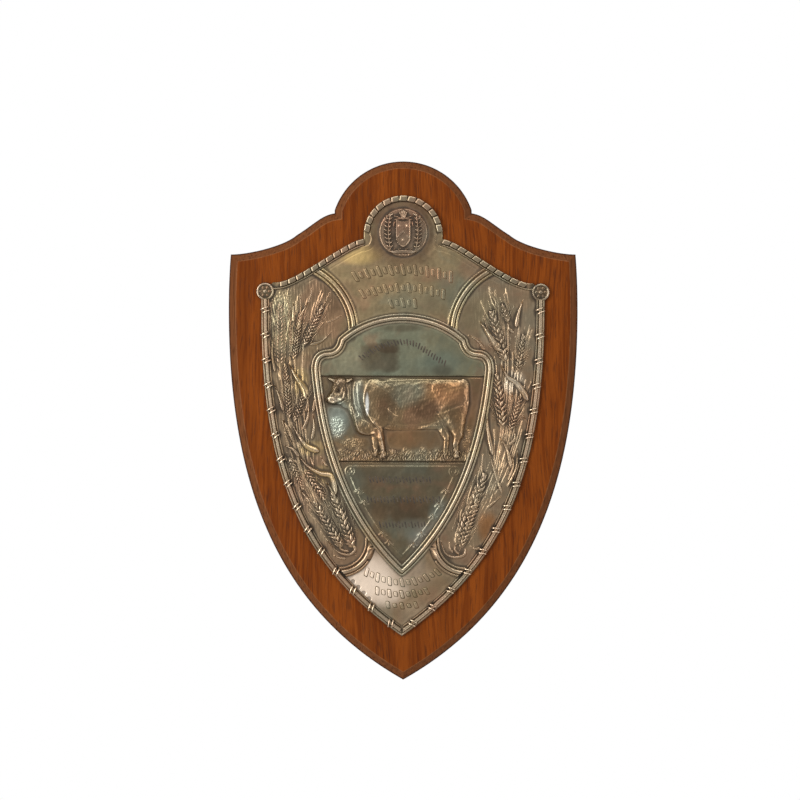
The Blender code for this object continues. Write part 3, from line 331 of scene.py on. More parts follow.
def along(path, p, reach):
    """Distance from a path, length run along it, and the side (left of its way is 1)."""
    far, run, side = np.full(len(p), 1e6), np.zeros(len(p)), np.ones(len(p))
    lo, hi = path.min(0) - reach, path.max(0) + reach
    pick = np.where((p[:, 0] > lo[0]) & (p[:, 0] < hi[0]) & (p[:, 1] > lo[1]) & (p[:, 1] < hi[1]))[0]
    s = p[pick]
    start = 0.0
    for a, b in zip(path[:-1], path[1:]):
        k = np.where((s[:, 0] > min(a[0], b[0]) - reach) & (s[:, 0] < max(a[0], b[0]) + reach)
                     & (s[:, 1] > min(a[1], b[1]) - reach) & (s[:, 1] < max(a[1], b[1]) + reach))[0]
        d = b - a
        size = float(np.hypot(*d))
        q = s[k] - a
        w = pick[k]
        t = np.clip((q @ d) / size ** 2, 0.0, 1.0)
        dist = np.hypot(q[:, 0] - t * d[0], q[:, 1] - t * d[1])
        near = dist < far[w]
        w, t, q = w[near], t[near], q[near]
        far[w], run[w] = dist[near], start + t * size
        side[w] = np.where(d[0] * q[:, 1] - d[1] * q[:, 0] >= 0, 1.0, -1.0)
        start += size
    return far, run, side


def reed(x, half):
    """A half-round of unit height over x = 0."""
    return np.sqrt(np.clip(1.0 - (x / half) ** 2, 0.0, 1.0))


def smooth(x):
    """Eases from 0 to 1."""
    x = np.clip(x, 0.0, 1.0)
    return x * x * (3 - 2 * x)


def ripple(p, size, seed, turns=7):
    """Gentle irregular waves, about -1 to 1, of a given length."""
    rng = np.random.default_rng(seed)
    total = np.zeros(len(p))
    for _ in range(turns):
        a, ph = rng.uniform(0, 2 * math.pi, 2)
        k = 2 * math.pi / (size * rng.uniform(0.7, 1.5))
        total += np.sin(k * (p[:, 0] * math.cos(a) + p[:, 1] * math.sin(a)) + ph)
    return total / math.sqrt(turns * 2)


def blob(p, x0, z0, r0, x1, z1, r1):
    """1 on the spine of a tapered capsule, falling to 0 at its outline."""
    a, d = np.array((x0, z0)), np.array((x1 - x0, z1 - z0))
    t = np.clip(((p - a) @ d) / (d @ d), 0.0, 1.0)
    return 1.0 - np.hypot(*(p - a - t[:, None] * d).T) / (r0 + (r1 - r0) * t)


def field_level(x, z):
    """The outer fields' domed level over the plate's flat back."""
    return FIELD + DOME * np.clip(1 - (x / DOME_WIDE) ** 2 - ((z - DOME_Z) / DOME_TALL) ** 2, 0, 1)


def row_path(wide, z, rise, n=48):
    """The arched line that a row of strokes stands on."""
    u = np.linspace(-1, 1, n)
    return np.stack([wide * u, z + rise * u * u], axis=1)


def board_half(n):
    """The right half of the board's outline; n sets how fine."""
    top = turn((0, ARCH_Z), ARCH_R, 90, math.degrees(math.atan2(NOTCH[1] - ARCH_Z, NOTCH[0])), 10 * n)
    return join(top[:-1], cubic(SHOULDER, 5 * n), cubic(SHOULDER_LOW, 6 * n), cubic(SIDE_TOP, 4 * n),
                cubic(SIDE, 26 * n))


def plate_half(n):
    """The right half of the plate's outline; n sets how fine."""
    top = turn((0, P_ARCH_Z), P_ARCH_R, 90, -6, 10 * n)
    flower = turn(ROSETTE, ROSETTE_R, 128, -62, 8 * n)
    return join(top[:-1], cubic(P_SHOULDER, 11 * n), flower, cubic(P_SIDE, 34 * n))


OUTLINE = mirror(plate_half(8))
SIDES = [join([(124.6, 106.0)], cubic(P_SIDE, 240)) * (s, 1) for s in (1, -1)]
SHOULDERS = [cubic(P_SHOULDER, 60) * (s, 1) for s in (1, -1)]
INNER = mirror(join(*(cubic(c, k) for c, k in zip(FRAME, (24, 10, 14, 90)))))
UPPERS = [cubic(UPPER, 50) * (s, 1) for s in (1, -1)]
LOWERS = [turn(LOWER_C, LOWER_R, 176, 272, 40) * (s, 1) for s in (1, -1)]
# what the fields are cut along, run on past both ends
UPPER_SEAMS = [join([(s * TOP_REACH, 150.0)], shift_path(u, s * SEAM), [(s * 37.5, 66.0)])
               for s, u in zip((1, -1), UPPERS)]
LOWER_SEAMS = [join([(s * 25.0, -92.0)], turn(LOWER_C, LOWER_R + SEAM, 180, 268, 40) * (s, 1),
                    [(s * FOOT_REACH, -139.0)]) for s in (1, -1)]


def ear_fat(t, w):
    """Half width of an ear at a share t of its length."""
    return w / 2 * np.clip(4 * (t + 0.06) * (1.03 - t), 0, 1) ** 0.35 * (1.08 - 0.38 * t)


def sprays():
    """Leaves of the medallion's two sprays, two runs a leaf: x, z, radius, x, z, radius."""
    out = []
    for s in (-1, 1):
        for k in range(9):
            x, z = s * (11.2 + 1.8 * math.sin(math.pi * k / 8)), 151.6 + 3.5 * k
            for way, size in ((0.55, 4.9), (2.35, 3.2)):
                dx, dz = s * size * math.cos(way), size * math.sin(way)
                out.append((x, z, 0.35, x + dx * 0.55, z + dz * 0.5, 1.15))
                out.append((x + dx * 0.55, z + dz * 0.5, 1.15, x + dx, z + dz, 0.25))
    return out


def medal_forms():
    """Crest, side leaves, sprays and foot of the medallion: x, z, radius, x, z, radius, height."""
    forms = [(0.7 * k, 176.6, 0.8, 3.1 * k, 184.6 - abs(k) * 2.0, 1.0, 1.5) for k in (-1, -0.5, 0, 0.5, 1)]
    forms += [(s * 1.5, 177.2, 1.0, s * 7.6, 177.0 + d, 0.7, 1.1) for s in (-1, 1) for d in (-0.8, 2.4)]
    forms += [(s * 7.8, 174.0, 0.9, s * 8.6, 170.4, 0.6, 0.9) for s in (-1, 1)]
    forms += [(*leaf, 1.35) for leaf in sprays()]
    forms += [(2.1 * k, 143.9 - 0.1 * k * k, 0.9, 2.8 * k, 145.9 - 0.12 * k * k, 0.6, 0.8)
              for k in range(-3, 4)]
    forms += [(x0, 150.2, 0.6, x0 + 1.5, 150.9, 0.5, 0.7) for x0 in (-15.0, -8.0, -4.0, 2.5, 6.5, 13.5)]
    return forms


def medal_shield(q):
    """A plain pointed shield with a rim, a bent bar and three bosses."""
    x, z = q[:, 0], q[:, 1]
    foot = 0.72 * (z - 151.6 - 7.2 * (np.abs(x) / MEDAL_SHIELD) ** 1.9)
    shield = np.minimum(MEDAL_SHIELD - np.abs(x), np.minimum(174.9 - z + 0.045 * x ** 2, foot))
    raised = 1.25 * smooth(shield / 0.6) - 0.5 * smooth((shield - 0.9) / 0.4)
    raised += np.where(shield > 1.0, 0.7 * smooth((1.3 - np.abs(z - 165.5 + 0.9 * np.abs(x))) / 0.5), 0)
    for bx, bz in ((-3.5, 170.6), (3.5, 170.6), (0.0, 158.4)):
        raised += 0.7 * np.sqrt(np.clip(blob(q, bx, bz, 1.3, bx, bz + 0.4, 1.3), 0, 1))
    return raised


def medallion(p, h):
    """Dished arch head with a disc: a plain shield and its leafy crest between two upright sprays."""
    r = np.hypot(p[:, 0], p[:, 1] - MEDAL_Z)
    dished = smooth((p[:, 1] - 136) / 18) * smooth((32 - r) / 5)
    lip = 0.9 * np.clip((r - 26) / 5, 0, 1) ** 2 * smooth((p[:, 1] - 152) / 8)
    h = h * (1 - dished) + (FIELD + 0.1 + lip) * dished
    h = np.maximum(h, FIELD + 1.3 * smooth((MEDAL_R + 0.4 - r) / 3.2))
    h = h + 0.22 * reed(r - MEDAL_R + 1.6, 0.8)
    pick = np.where(r < MEDAL_R - 0.4)[0]
    if not len(pick):
        return h
    q, r = p[pick], r[pick]
    raised = medal_shield(q)
    for *form, up in medal_forms():
        raised = np.maximum(raised, up * np.sqrt(np.clip(blob(q, *form), 0, 1)))
    k = np.arange(0, 9)
    for s in (-1, 1):
        stem = np.stack([s * (11.2 + 1.8 * np.sin(math.pi * k / 8)), 150.0 + 3.9 * k], axis=1)
        raised = np.maximum(raised, reed(along(stem, q, 1.0)[0], 0.55))
    base = np.minimum(17.0 - np.abs(q[:, 0]), 1.5 - np.abs(q[:, 1] - 148.2 + 0.008 * q[:, 0] ** 2))
    raised = np.maximum(raised, 1.1 * smooth(base / 0.5))
    h[pick] += raised * smooth((MEDAL_R - 1.2 - r) / 1.4) + 0.03 * ripple(q, 2.2, 5)
    return h


def sheaf_at(z):
    """The sheaf's middle line on the right."""
    return np.interp(z, *SHEAF)


def straws():
    """Fine lines of the sheaves: stems down to the feet, loose stalks, and bristles round the ears."""
    rng = np.random.default_rng(8)
    out = []
    starts = [(x0, z0, 1.0) for x0, z0, *_ in EARS if z0 > -80]
    for s in (-1, 1):
        starts += [(s * (sheaf_at(z) + rng.uniform(-13, 13)), z, 0.7) for z in rng.uniform(-60, 72, 13)]
    for x0, z0, thick in starts:
        s = math.copysign(1, x0)
        z = np.linspace(z0, rng.uniform(-104, -92), 12)
        share = ((z - z[-1]) / (z0 - z[-1])) ** 1.25
        x = s * (sheaf_at(z) + (abs(x0) - sheaf_at(z0)) * share + rng.uniform(-4, 4) * (1 - share)
                 + rng.uniform(-1.5, 1.5) * np.sin(share * 5))
        out.append((np.stack([x, z], axis=1), 0.78 * thick, 0.72 * thick))
    for *ends, w, _ in EARS:
        a, d, n, size = axis_of(*ends)
        for k in range(12):
            t, side = rng.uniform(0.25, 1.0), (-1, 1)[k % 2]
            lean, far = side * rng.uniform(0.06, 0.28), rng.uniform(9, 21)
            root = a + d * size * t + n * side * w * 0.46 * (1.05 - 0.5 * t)
            tip = root + (d * math.cos(lean) + n * math.sin(lean)) * far
            out.append((np.stack([root, (root + tip) / 2 + n * side * 0.5, tip]), 0.58, 0.42))
    return out


STRAWS = straws()


def wheat(p, h, field):
    """Swells of the ears, folded leaf blades, fine stems and bristles."""
    base = h.copy()
    for points, thick, up in STRAWS:
        d, run, _ = along(points, p, 1.2)
        h = np.maximum(h, base + up * reed(d, thick) * field * (1.1 - 0.6 * run / length(points)))
    for *ends, w, up in EARS:
        a, d, n, size = axis_of(*ends)
        spot = np.where(field & (np.hypot(*(p - a - d * size / 2).T) < size / 2 + w))[0]
        q = p[spot] - a
        u, v = q @ d, q @ n
        fat = ear_fat(u / size, w) * 0.86
        body = np.clip(1 - (v / np.maximum(fat, 0.1)) ** 2, 0, 1)
        swell = base[spot] + 0.40 * up * np.sqrt(body)
        h[spot] = np.where(body > 0, np.maximum(h[spot] * 0.3 + base[spot] * 0.7, swell), h[spot])
    for *points, w in BLADES:
        points = bent(points)
        d, run, side = along(points, p, w)
        t = run / length(points)
        t = t if points[0, 1] < points[-1, 1] else 1 - t
        on_blade = field & (t >= 0) & (t <= 1)
        t = np.clip(t, 0, 1)
        width = np.minimum(1, (t / 0.10) ** 0.5) * np.minimum(1, 1.22 * (1 - t) ** 0.72)
        half = w / 2 * np.clip(width, 0.12, 1)
        leaf = np.clip(1 - d / half, 0, 1) * on_blade
        fold = np.where(side > 0, leaf ** 0.45, leaf ** 0.9)
        leaf_top = base + (0.95 + 0.22 * w) * fold - 0.45 * np.exp(-(d / 0.4) ** 2)
        h = np.where(leaf > 0.02, np.maximum(leaf_top, h * 0.15 + base * 0.85), h)
    for x0, z0, x1, z1 in STEMS:
        mid = ((x0 + x1) / 2 + (z1 - z0) * 0.05, (z0 + z1) / 2 - (x1 - x0) * 0.05)
        points = bent(((x0, z0), mid, (x1, z1)), 2.5)
        d, run, _ = along(points, p, 1.2)
        thick = 0.75 * (1 - 0.6 * run / length(points))
        h = np.maximum(h, base + 0.85 * reed(d, thick) * field)
    # pebbled ground at the top of the left field, chased lines elsewhere
    pebble = field * smooth((p[:, 1] - 62) / 30) * smooth((-94 - p[:, 0]) / 8)
    chased = field * (np.abs(p[:, 0]) > 60)
    return h + 0.13 * pebble * ripple(p, 1.9, 31) + 0.05 * chased * ripple(p * (1.0, 0.25), 2.3, 32)


def ox(p, h, ground):
    """The ox: melted body forms, creases, lips, eye, nostrils and curls."""
    total = np.zeros(len(p))
    for *shape, up in OX:
        b = np.clip(blob(p, *shape), 0, 1)
        total += (up * (1 - (1 - b) ** 2.6) ** 0.6) ** 5
    body = total ** 0.2
    skin = smooth(body / 0.8)
    for w, deep, *points in OX_CUTS:
        d = along(bent(points), p, 3 * w)[0]
        body = body - deep * np.exp(-(d / w) ** 2) * skin
    for w, up, *points in OX_LIPS:
        d = along(bent(points), p, 3 * w)[0]
        body = body + 1.3 * up * np.exp(-(d / (0.85 * w)) ** 2) * skin
    for x, z, r, up in OX_KNOBS:
        body = body + up * np.exp(-((p[:, 0] - x) ** 2 + (p[:, 1] - z) ** 2) / r ** 2) * skin
    for x, z in ((-59.6, 35.6), (-49.2, 35.8)):
        q = p - np.array((x, z))
        r, a = np.hypot(*q.T), np.arctan2(q[:, 1], q[:, 0])
        body = body + 0.45 * np.sin(r * 2.6 - a) * np.clip(1.4 - r / 3.2, 0, 1) * skin
    fur = 0.065 * ripple(p * (1.0, 0.7), 2.1, 21, 16) + 0.09 * ripple(p, 6.5, 22, 12)
    # chased foliage behind the ox, left and right
    bush = np.zeros(len(p))
    for x, z, w, tall in ((-58.5, -6.5, 7.5, 8.5), (56.0, -14.0, 6.0, 9.0), (-43.0, -20.0, 9.0, 4.0)):
        bush = np.maximum(bush, smooth(1.5 - np.hypot((p[:, 0] - x) / w, (p[:, 1] - z) / tall)))
    curls = np.abs(ripple(p, 2.9, 23)) ** 0.7 * 0.55 * bush * (1 - skin)
    return h + ground * (body + fur * skin + curls)


def partitions(p, h):
    """Mouldings between the outer fields: a bead, the main ridge and a bead."""
    for path in UPPERS + LOWERS:
        d = along(path, p, PART_W)[0]
        h = np.where(d < PART_W / 2, FIELD + 0.9, h)
        h = h + 2.2 * reed(d, 2.3) + 0.9 * reed(d - 3.6, 1.1)
    return h


def tablet(p, h, field, out):
    """The sunk tablet under the ox: line border, curled corners and sprigs."""
    h = h - 0.35 * field
    edge = np.minimum(np.abs(out + 9.6), 99) + np.where(p[:, 1] > -46.5, 50, 0)
    lines = [np.array([(-42.0, -40.6), (42.0, -40.6)])]
    for s in (-1, 1):
        eye = (s * 45.6, -44.6)
        lines.append(join(turn(eye, 4.0, 110, 110 + 400 * s, 40),
                          turn(eye, 2.0, 110 + 400 * s, 110 + 640 * s, 24)))
    for line in lines:
        edge = np.minimum(edge, along(line, p, 2.0)[0])
    h = h + field * 0.36 * np.exp(-(edge / 0.8) ** 2)
    for s, sprig_z in SPRIGS:
        k = int(np.argmin(np.abs(INNER[:, 1] - sprig_z) + (INNER[:, 0] * s < 0) * 500))
        c = INNER[k] - np.array((s * 13.0, 0.0))
        for a in (-0.7, 0.1, 0.9):
            b = blob(p, c[0], c[1], 0.6, c[0] + 4.2 * math.sin(a) * s, c[1] - 4.2 * math.cos(a), 1.1)
            h = h + field * 0.8 * np.sqrt(np.clip(b, 0, 1))
    return h


def inner_shield(p, h, within):
    """The inner shield: its domed level, its frame, the panels' dividing lines, turf, ox and tablet."""
    x, z = p[:, 0], p[:, 1]
    d = along(shut(INNER), p, 16.0)[0]
    out = np.where(within, -d, d)
    inner = FIELD + 1.0 + 0.8 * np.clip(1 - (x / 80) ** 2 - ((z + 10) / 125) ** 2, 0, 1)
    inner = inner + 0.10 * ripple(p, 30, 13) + 0.04 * ripple(p, 9, 14)
    h = np.where(within, inner, h)
    h = np.where(d < FRAME_W / 2, FIELD + 1.4, h)
    h = h + 2.3 * reed(d, 2.0) + 0.62 * reed(d - 3.2, 0.95)
    deep = within & (out < -FRAME_W / 2)
    for line in (OX_TOP, OX_LOW):
        h = h - np.where(deep, np.clip(1 - np.abs(z - line) / 1.3, 0, 1), 0)
    ground = np.where(deep & (z < OX_TOP) & (z > OX_LOW), 1.0, 0.0)
    h = h - 0.5 * ground
    turf = smooth((-24.0 - z + 1.6 * np.sin(x * 0.45) + ripple(p, 7, 15)) / 6)
    h = h + ground * turf * (0.8 + 0.25 * ripple(p * (1.0, 0.6), 2.4, 16))
    h = ox(p, h, ground)
    return tablet(p, h, deep & (z < OX_LOW - 1.5), out)


def border_beds(p, h):
    """Beds of the side bands, the arch and the shoulders, and the rosettes' discs."""
    x, z = p[:, 0], p[:, 1]
    for path in SIDES:
        d, run, _ = along(path, p, BAND + 3)
        h = np.where((d < BAND) & (run > 0.1), EDGE + (FIELD - EDGE) * smooth(d / 1.2) - 0.1, h)
    ring = np.abs(np.hypot(x, z - P_ARCH_Z) - P_ARCH_R + ARCH_BAND / 2)
    h = np.where((ring < ARCH_BAND / 2 + 0.3) & (z > 158.5), EDGE + 0.5, h)
    for path in SHOULDERS:
        h = np.where(along(path, p, SHOULDER_BAND)[0] < SHOULDER_BAND, EDGE + 0.6, h)
    for s in (-1, 1):
        r = np.hypot(x - ROSETTE[0] * s, z - ROSETTE[1])
        disc = FIELD + 0.3 + 1.3 * reed(np.clip(r - 6.7, -1.2, 1.2), 1.25) + 0.5 * smooth((6.0 - r) / 4)
        h = np.where(r < ROSETTE_R, disc + 0.9 * reed(r, 2.0), h)
    return h


def relief(p):
    """Metal height over the plate's flat back at points (x, z), in millimetres."""
    x, z = p[:, 0], p[:, 1]
    h = field_level(x, z) + 0.13 * ripple(p, 38, 11) + 0.06 * ripple(p, 14, 12)
    within = inside(INNER, p)
    rim = along(shut(OUTLINE), p, 15.0)[0]
    h = h + 0.10 * smooth((rim - 10.8) / 2.4) * smooth((124 - z) / 26)
    for path in SHOULDERS:
        from_edge = along(path, p, 15.0)[0]
        h = h - 0.12 * np.exp(-((from_edge - SHOULDER_BAND - 4.0) / 0.6) ** 2)
    h = medallion(p, h)
    h = wheat(p, h, (z < 124) & ~within)
    h = partitions(p, h)
    h = inner_shield(p, h, within)
    # plain dents low on the left
    for k in range(4):
        h = h - 0.7 * smooth((2.2 - np.hypot(x + 42.9 - 4.7 * k, z + 141.4 + 5.0 * k)) / 0.8)
    h = border_beds(p, h)
    h = h + 0.02 * ripple(p, 4.1, 17, 9)
    # the highest forms are pressed a little flat
    h = np.where(h > 7.3, 7.3 + 0.75 * np.tanh((h - 7.3) / 0.9), h)
    return np.where(rim < 0.3, EDGE, np.maximum(h, EDGE))


# Shaders

class Sock:
    """A node's output that takes plain arithmetic."""

    def __init__(self, tree, socket):
        self.tree, self.socket = tree, socket

    def math(self, kind, *values, clamp=False):
        return self.tree.node("ShaderNodeMath", {"operation": kind, "use_clamp": clamp},
                              dict(enumerate(values)))

    def __add__(self, other):
        return self.math("ADD", self, other)

    def __sub__(self, other):
        return self.math("SUBTRACT", self, other)

    def __rsub__(self, other):
        return self.math("SUBTRACT", other, self)

    def __mul__(self, other):
        return self.math("MULTIPLY", self, other)

    def __truediv__(self, other):
        return self.math("DIVIDE", self, other)

    def __pow__(self, other):
        return self.math("POWER", self, other)

    __radd__, __rmul__ = __add__, __mul__

    def clip(self):
        return self.math("ADD", self, 0.0, clamp=True)

    def ramp(self, low, high):
        """0 below low, 1 above high, eased between."""
        return self.tree.node("ShaderNodeMapRange", {"interpolation_type": "SMOOTHSTEP"},
                              {0: self, 1: low, 2: high, 3: 0.0, 4: 1.0})

    def fall(self, low, high):
        """1 below low, 0 above high."""
        return 1.0 - self.ramp(low, high)

    def size(self):
        return self.math("ABSOLUTE", self)


class Finish:
    """One material and the nodes that make it."""

    def __init__(self, name):
        self.material = bpy.data.materials.new(name)
        self.material.use_nodes = True
        self.nodes = self.material.node_tree.nodes
        self.nodes.clear()
        self.out = self.nodes.new("ShaderNodeOutputMaterial")
        self.shader = self.nodes.new("ShaderNodeBsdfPrincipled")
        self.join(self.out.inputs["Surface"], self.shader.outputs[0])

    def join(self, socket, value):
        if isinstance(value, Sock):
            value = value.socket
        if isinstance(value, bpy.types.NodeSocket):
            self.material.node_tree.links.new(socket, value)
        elif isinstance(value, tuple) and len(value) == 3 and socket.type == "RGBA":
            socket.default_value = (*value, 1.0)
        else:
            socket.default_value = value

    def node(self, kind, settings=None, values=None, out=0):
        made = self.nodes.new(kind)
        for key, value in (settings or {}).items():
            setattr(made, key, value)
        for key, value in (values or {}).items():
            self.join(made.inputs[key], value)
        return Sock(self, made.outputs[out])

    def place(self):
        return self.node("ShaderNodeTexCoord", out="Object")

    def stretch(self, vector, scale, turn_by=(0.0, 0.0, 0.0)):
        return self.node("ShaderNodeMapping", {}, {"Vector": vector, "Scale": scale, "Rotation": turn_by})

    def noise(self, vector, scale, detail=4.0, rough=0.55, distortion=0.0):
        return self.node("ShaderNodeTexNoise", {"noise_dimensions": "3D"},
                         {"Vector": vector, "Scale": scale, "Detail": detail, "Roughness": rough,
                          "Distortion": distortion})

    def cells(self, vector, scale):
        return self.node("ShaderNodeTexVoronoi", {"feature": "F1"}, {"Vector": vector, "Scale": scale})

    def attribute(self, name):
        return self.node("ShaderNodeAttribute", {"attribute_name": name}, out="Fac")

    def axis(self, vector, which):
        return self.node("ShaderNodeSeparateXYZ", {}, {0: vector}, out=which)

    def blend(self, factor, a, b):
        """Colour b laid over a by factor."""
        return self.node("ShaderNodeMix", {"data_type": "RGBA"}, {0: factor, 6: a, 7: b}, out=2)

    def bump(self, height, strength, distance):
        return self.node("ShaderNodeBump", {}, {"Strength": strength, "Distance": distance, "Height": height})

    def set(self, **values):
        for key, value in values.items():
            self.join(self.shader.inputs[key.replace("_", " ")], value)
        return self.material


DARK_TARNISH_AND_SHADE = (0.026, 0.017, 0.009)
OLIVE_TARNISH = (0.093, 0.058, 0.030)
# pale colours of worn crests, which also serve as their painted highlight
BRIGHT_WEAR_AND_HIGHLIGHT = (0.68, 0.56, 0.39)
ROSY_WEAR_AND_HIGHLIGHT = (0.66, 0.48, 0.33)
COPPER = (0.46, 0.215, 0.085)
GOLD = (0.72, 0.50, 0.20)
SEA_GREEN = (0.21, 0.255, 0.195)
STEEL_BLUE = (0.46, 0.54, 0.46)
DEEP_BROWN = (0.095, 0.052, 0.030)
PORE = (0.026, 0.007, 0.003)
CHAFE_AND_SHEEN_WOOD = (0.31, 0.135, 0.05)
DARK_EDGE_WOOD = (0.028, 0.012, 0.008)


def shade(colour, *by):
    """A colour made darker or lighter, by one factor or by one for each channel."""
    return tuple(c * k for c, k in zip(colour, by * 3 if len(by) == 1 else by))


def tint_patch(f, at, warp, x, z, wide, tall, square=2.0):
    """1 in the middle of a ragged patch, 0 outside it; places and sizes in millimetres."""
    across = ((f.axis(at, 0) - x * MM) / (wide * MM) + warp).size()
    upward = ((f.axis(at, 2) - z * MM) / (tall * MM) - warp).size()
    return (across ** square + upward ** square).fall(0.05, 1.9 if square < 4 else 1.5)


def worn_metal(name, silver, warm, darken=1.0, rough=0.33, shine=1.0, tint_patches=()):
    """Worn silver plate: tone patches, tarnish in the hollows, crests made pale (rubbed wear of the plating
    and a painted highlight), pits and fine scratches.
    Each tint patch is x, z, half width, half height, colour and strength, and how square it is if not round;
    some are real stains or tone, some painted highlights, reflections or shade."""
    f = Finish(name)
    at = f.place()
    proud = f.attribute("proud")
    wide = f.attribute("wide")
    cloud = f.noise(at, 16.0, 5.0, 0.6)
    patchy = f.noise(at, 38.0, 4.0, 0.6, 0.6)
    mottle = f.noise(at, 110.0, 3.0, 0.55)
    speck = f.noise(at, 620.0, 3.0, 0.6)
    scratch = f.noise(f.stretch(at, (90.0, 1.0, 2400.0), (0.0, 0.28, 0.0)), 1.0, 2.0, 0.45)
    base = f.blend(cloud.ramp(0.40, 0.62), silver, warm)
    base = f.blend(patchy.ramp(0.56, 0.70) * 0.40, base, shade(warm, 0.55))
    base = f.blend(patchy.fall(0.32, 0.46) * 0.30, base, shade(silver, 1.5))
    base = f.blend(mottle.ramp(0.52, 0.72) * 0.30, base, OLIVE_TARNISH)
    hue = f.noise(at, 27.0, 3.0, 0.55, 0.4)
    base = f.blend(hue.ramp(0.51, 0.64) * 0.55, base, f.blend(0.55, warm, (0.40, 0.19, 0.115)))
    base = f.blend(hue.fall(0.37, 0.49) * 0.45, base, f.blend(0.6, silver, SEA_GREEN))
    warp = (cloud - 0.5) * 1.1 + (mottle - 0.5) * 0.35
    # the palest patch stands for a gleam, so it is less metallic
    glare = 0.0
    # each tint patch is a real stain or tone, or painted light as its table says
    for x, z, across, tall, tint, amount, *square in tint_patches:
        here = tint_patch(f, at, warp, x, z, across, tall, *square) * amount
        base = f.blend(here, base, tint)
        glare = here * 0.5 if tint[0] > 0.9 else glare
    # crests paler: rubbed wear of the plating, and a painted highlight where ridges catch the lamps
    worn_and_highlit = (proud + (patchy - 0.5) * 0.9 + (mottle - 0.5) * 0.15).ramp(0.12, 1.15) * 0.58 * shine
    base = f.blend(worn_and_highlit, base, f.blend(patchy.ramp(0.40, 0.62), BRIGHT_WEAR_AND_HIGHLIGHT, ROSY_WEAR_AND_HIGHLIGHT))
    sunk = (proud * -1.0 + (patchy - 0.5) * 0.7 + (mottle - 0.5) * 0.15).ramp(0.0, 0.60)
    base = f.blend((sunk * 0.9 * darken).clip(), base, DARK_TARNISH_AND_SHADE)
    low = (wide * -1.0 + (cloud - 0.5) * 0.8).ramp(0.1, 1.5)
    base = f.blend(low * 0.4 * darken, base, OLIVE_TARNISH)
    pits = f.cells(at, 900.0).ramp(0.0, 0.16)
    gloss = (rough + (patchy - 0.5) * 0.30 + (mottle - 0.5) * 0.20 + sunk * 0.32 - worn_and_highlit * 0.10
             + (scratch - 0.5) * 0.06).clip()
    height = f.noise(at, 95.0, 2.0, 0.5) * 0.8 + speck * 0.03 + scratch.ramp(0.55, 0.7) * 0.015 + pits * 0.02
    return f.set(Base_Color=base, Metallic=(1.0 - sunk * 0.55 * darken - glare).clip(), Roughness=gloss,
                 Normal=f.bump(height, 0.28, 0.0003))


def mahogany(name, board, bevel):
    """Varnished mahogany: upright grain, pores, cloudy varnish, duller bevels, arrises paler at the bevel's
    inner edge (wear and a painted highlight) and darker towards its outer edge.
    """
    f = Finish(name)
    at = f.place()
    sway = f.noise(f.stretch(at, (7.0, 7.0, 2.4)), 1.0, 3.0, 0.5)
    lean = f.node("ShaderNodeVectorMath", {"operation": "ADD"},
                  {0: at, 1: f.node("ShaderNodeCombineXYZ", {}, {0: (sway - 0.5) * 0.06, 1: 0.0, 2: 0.0})})
    ribbon = f.noise(f.stretch(lean, (75.0, 75.0, 5.0)), 1.0, 4.0, 0.6)
    fine = f.noise(f.stretch(lean, (480.0, 480.0, 20.0)), 1.0, 4.0, 0.62)
    pores = f.noise(f.stretch(lean, (760.0, 760.0, 52.0)), 1.0, 2.0, 0.5).ramp(0.54, 0.68)
    blotch = f.noise(at, 14.0, 4.0, 0.6)
    edge = f.attribute("bevel")
    arris = f.attribute("arris")
    light, dark = board
    face = f.blend(ribbon.ramp(0.30, 0.70), dark, light)
    face = f.blend(fine.ramp(0.42, 0.64) * 0.62, face, shade(dark, 0.62, 0.5, 0.5))
    face = f.blend(blotch.ramp(0.52, 0.72) * 0.35, face, shade(dark, 0.8, 0.75, 0.8))
    side = f.blend(fine.ramp(0.35, 0.7), bevel, shade(bevel, 0.74, 0.68, 0.60))
    side = f.blend(blotch.ramp(0.45, 0.7) * 0.4, side, shade(bevel, 0.85, 0.8, 0.8))
    tone = f.blend(edge.ramp(0.3, 0.7), face, side)
    tone = f.blend(pores * 0.45, tone, PORE)
    grit = f.noise(at, 190.0, 4.0, 0.65) - 0.5
    # paler at the bevel's inner arris: chafed wear and a painted highlight of light catching that edge
    chafe_and_sheen = (arris + grit * 1.5).ramp(0.42, 1.15)
    tone = f.blend(chafe_and_sheen * 0.4, tone, CHAFE_AND_SHEEN_WOOD)
    # darker towards the bevel's outer edge, where the arris mark is below 0
    darken = (arris * -1.0 + grit * 0.6).ramp(0.1, 0.9)
    tone = f.blend(darken * 0.8, tone, DARK_EDGE_WOOD)
    rough = 0.30 + (blotch - 0.5) * 0.14 + pores * 0.2 + edge * 0.22 + chafe_and_sheen * 0.12
    height = fine * 0.4 - pores * 0.8 + f.noise(at, 60.0, 3.0) * 0.25
    f.set(Coat_Roughness=0.14, Specular_IOR_Level=0.06)
    return f.set(Base_Color=tone, Roughness=rough.clip(), Coat_Weight=(0.05 - edge * 0.03).clip(),
                 Normal=f.bump(height, 0.3, 0.00025))
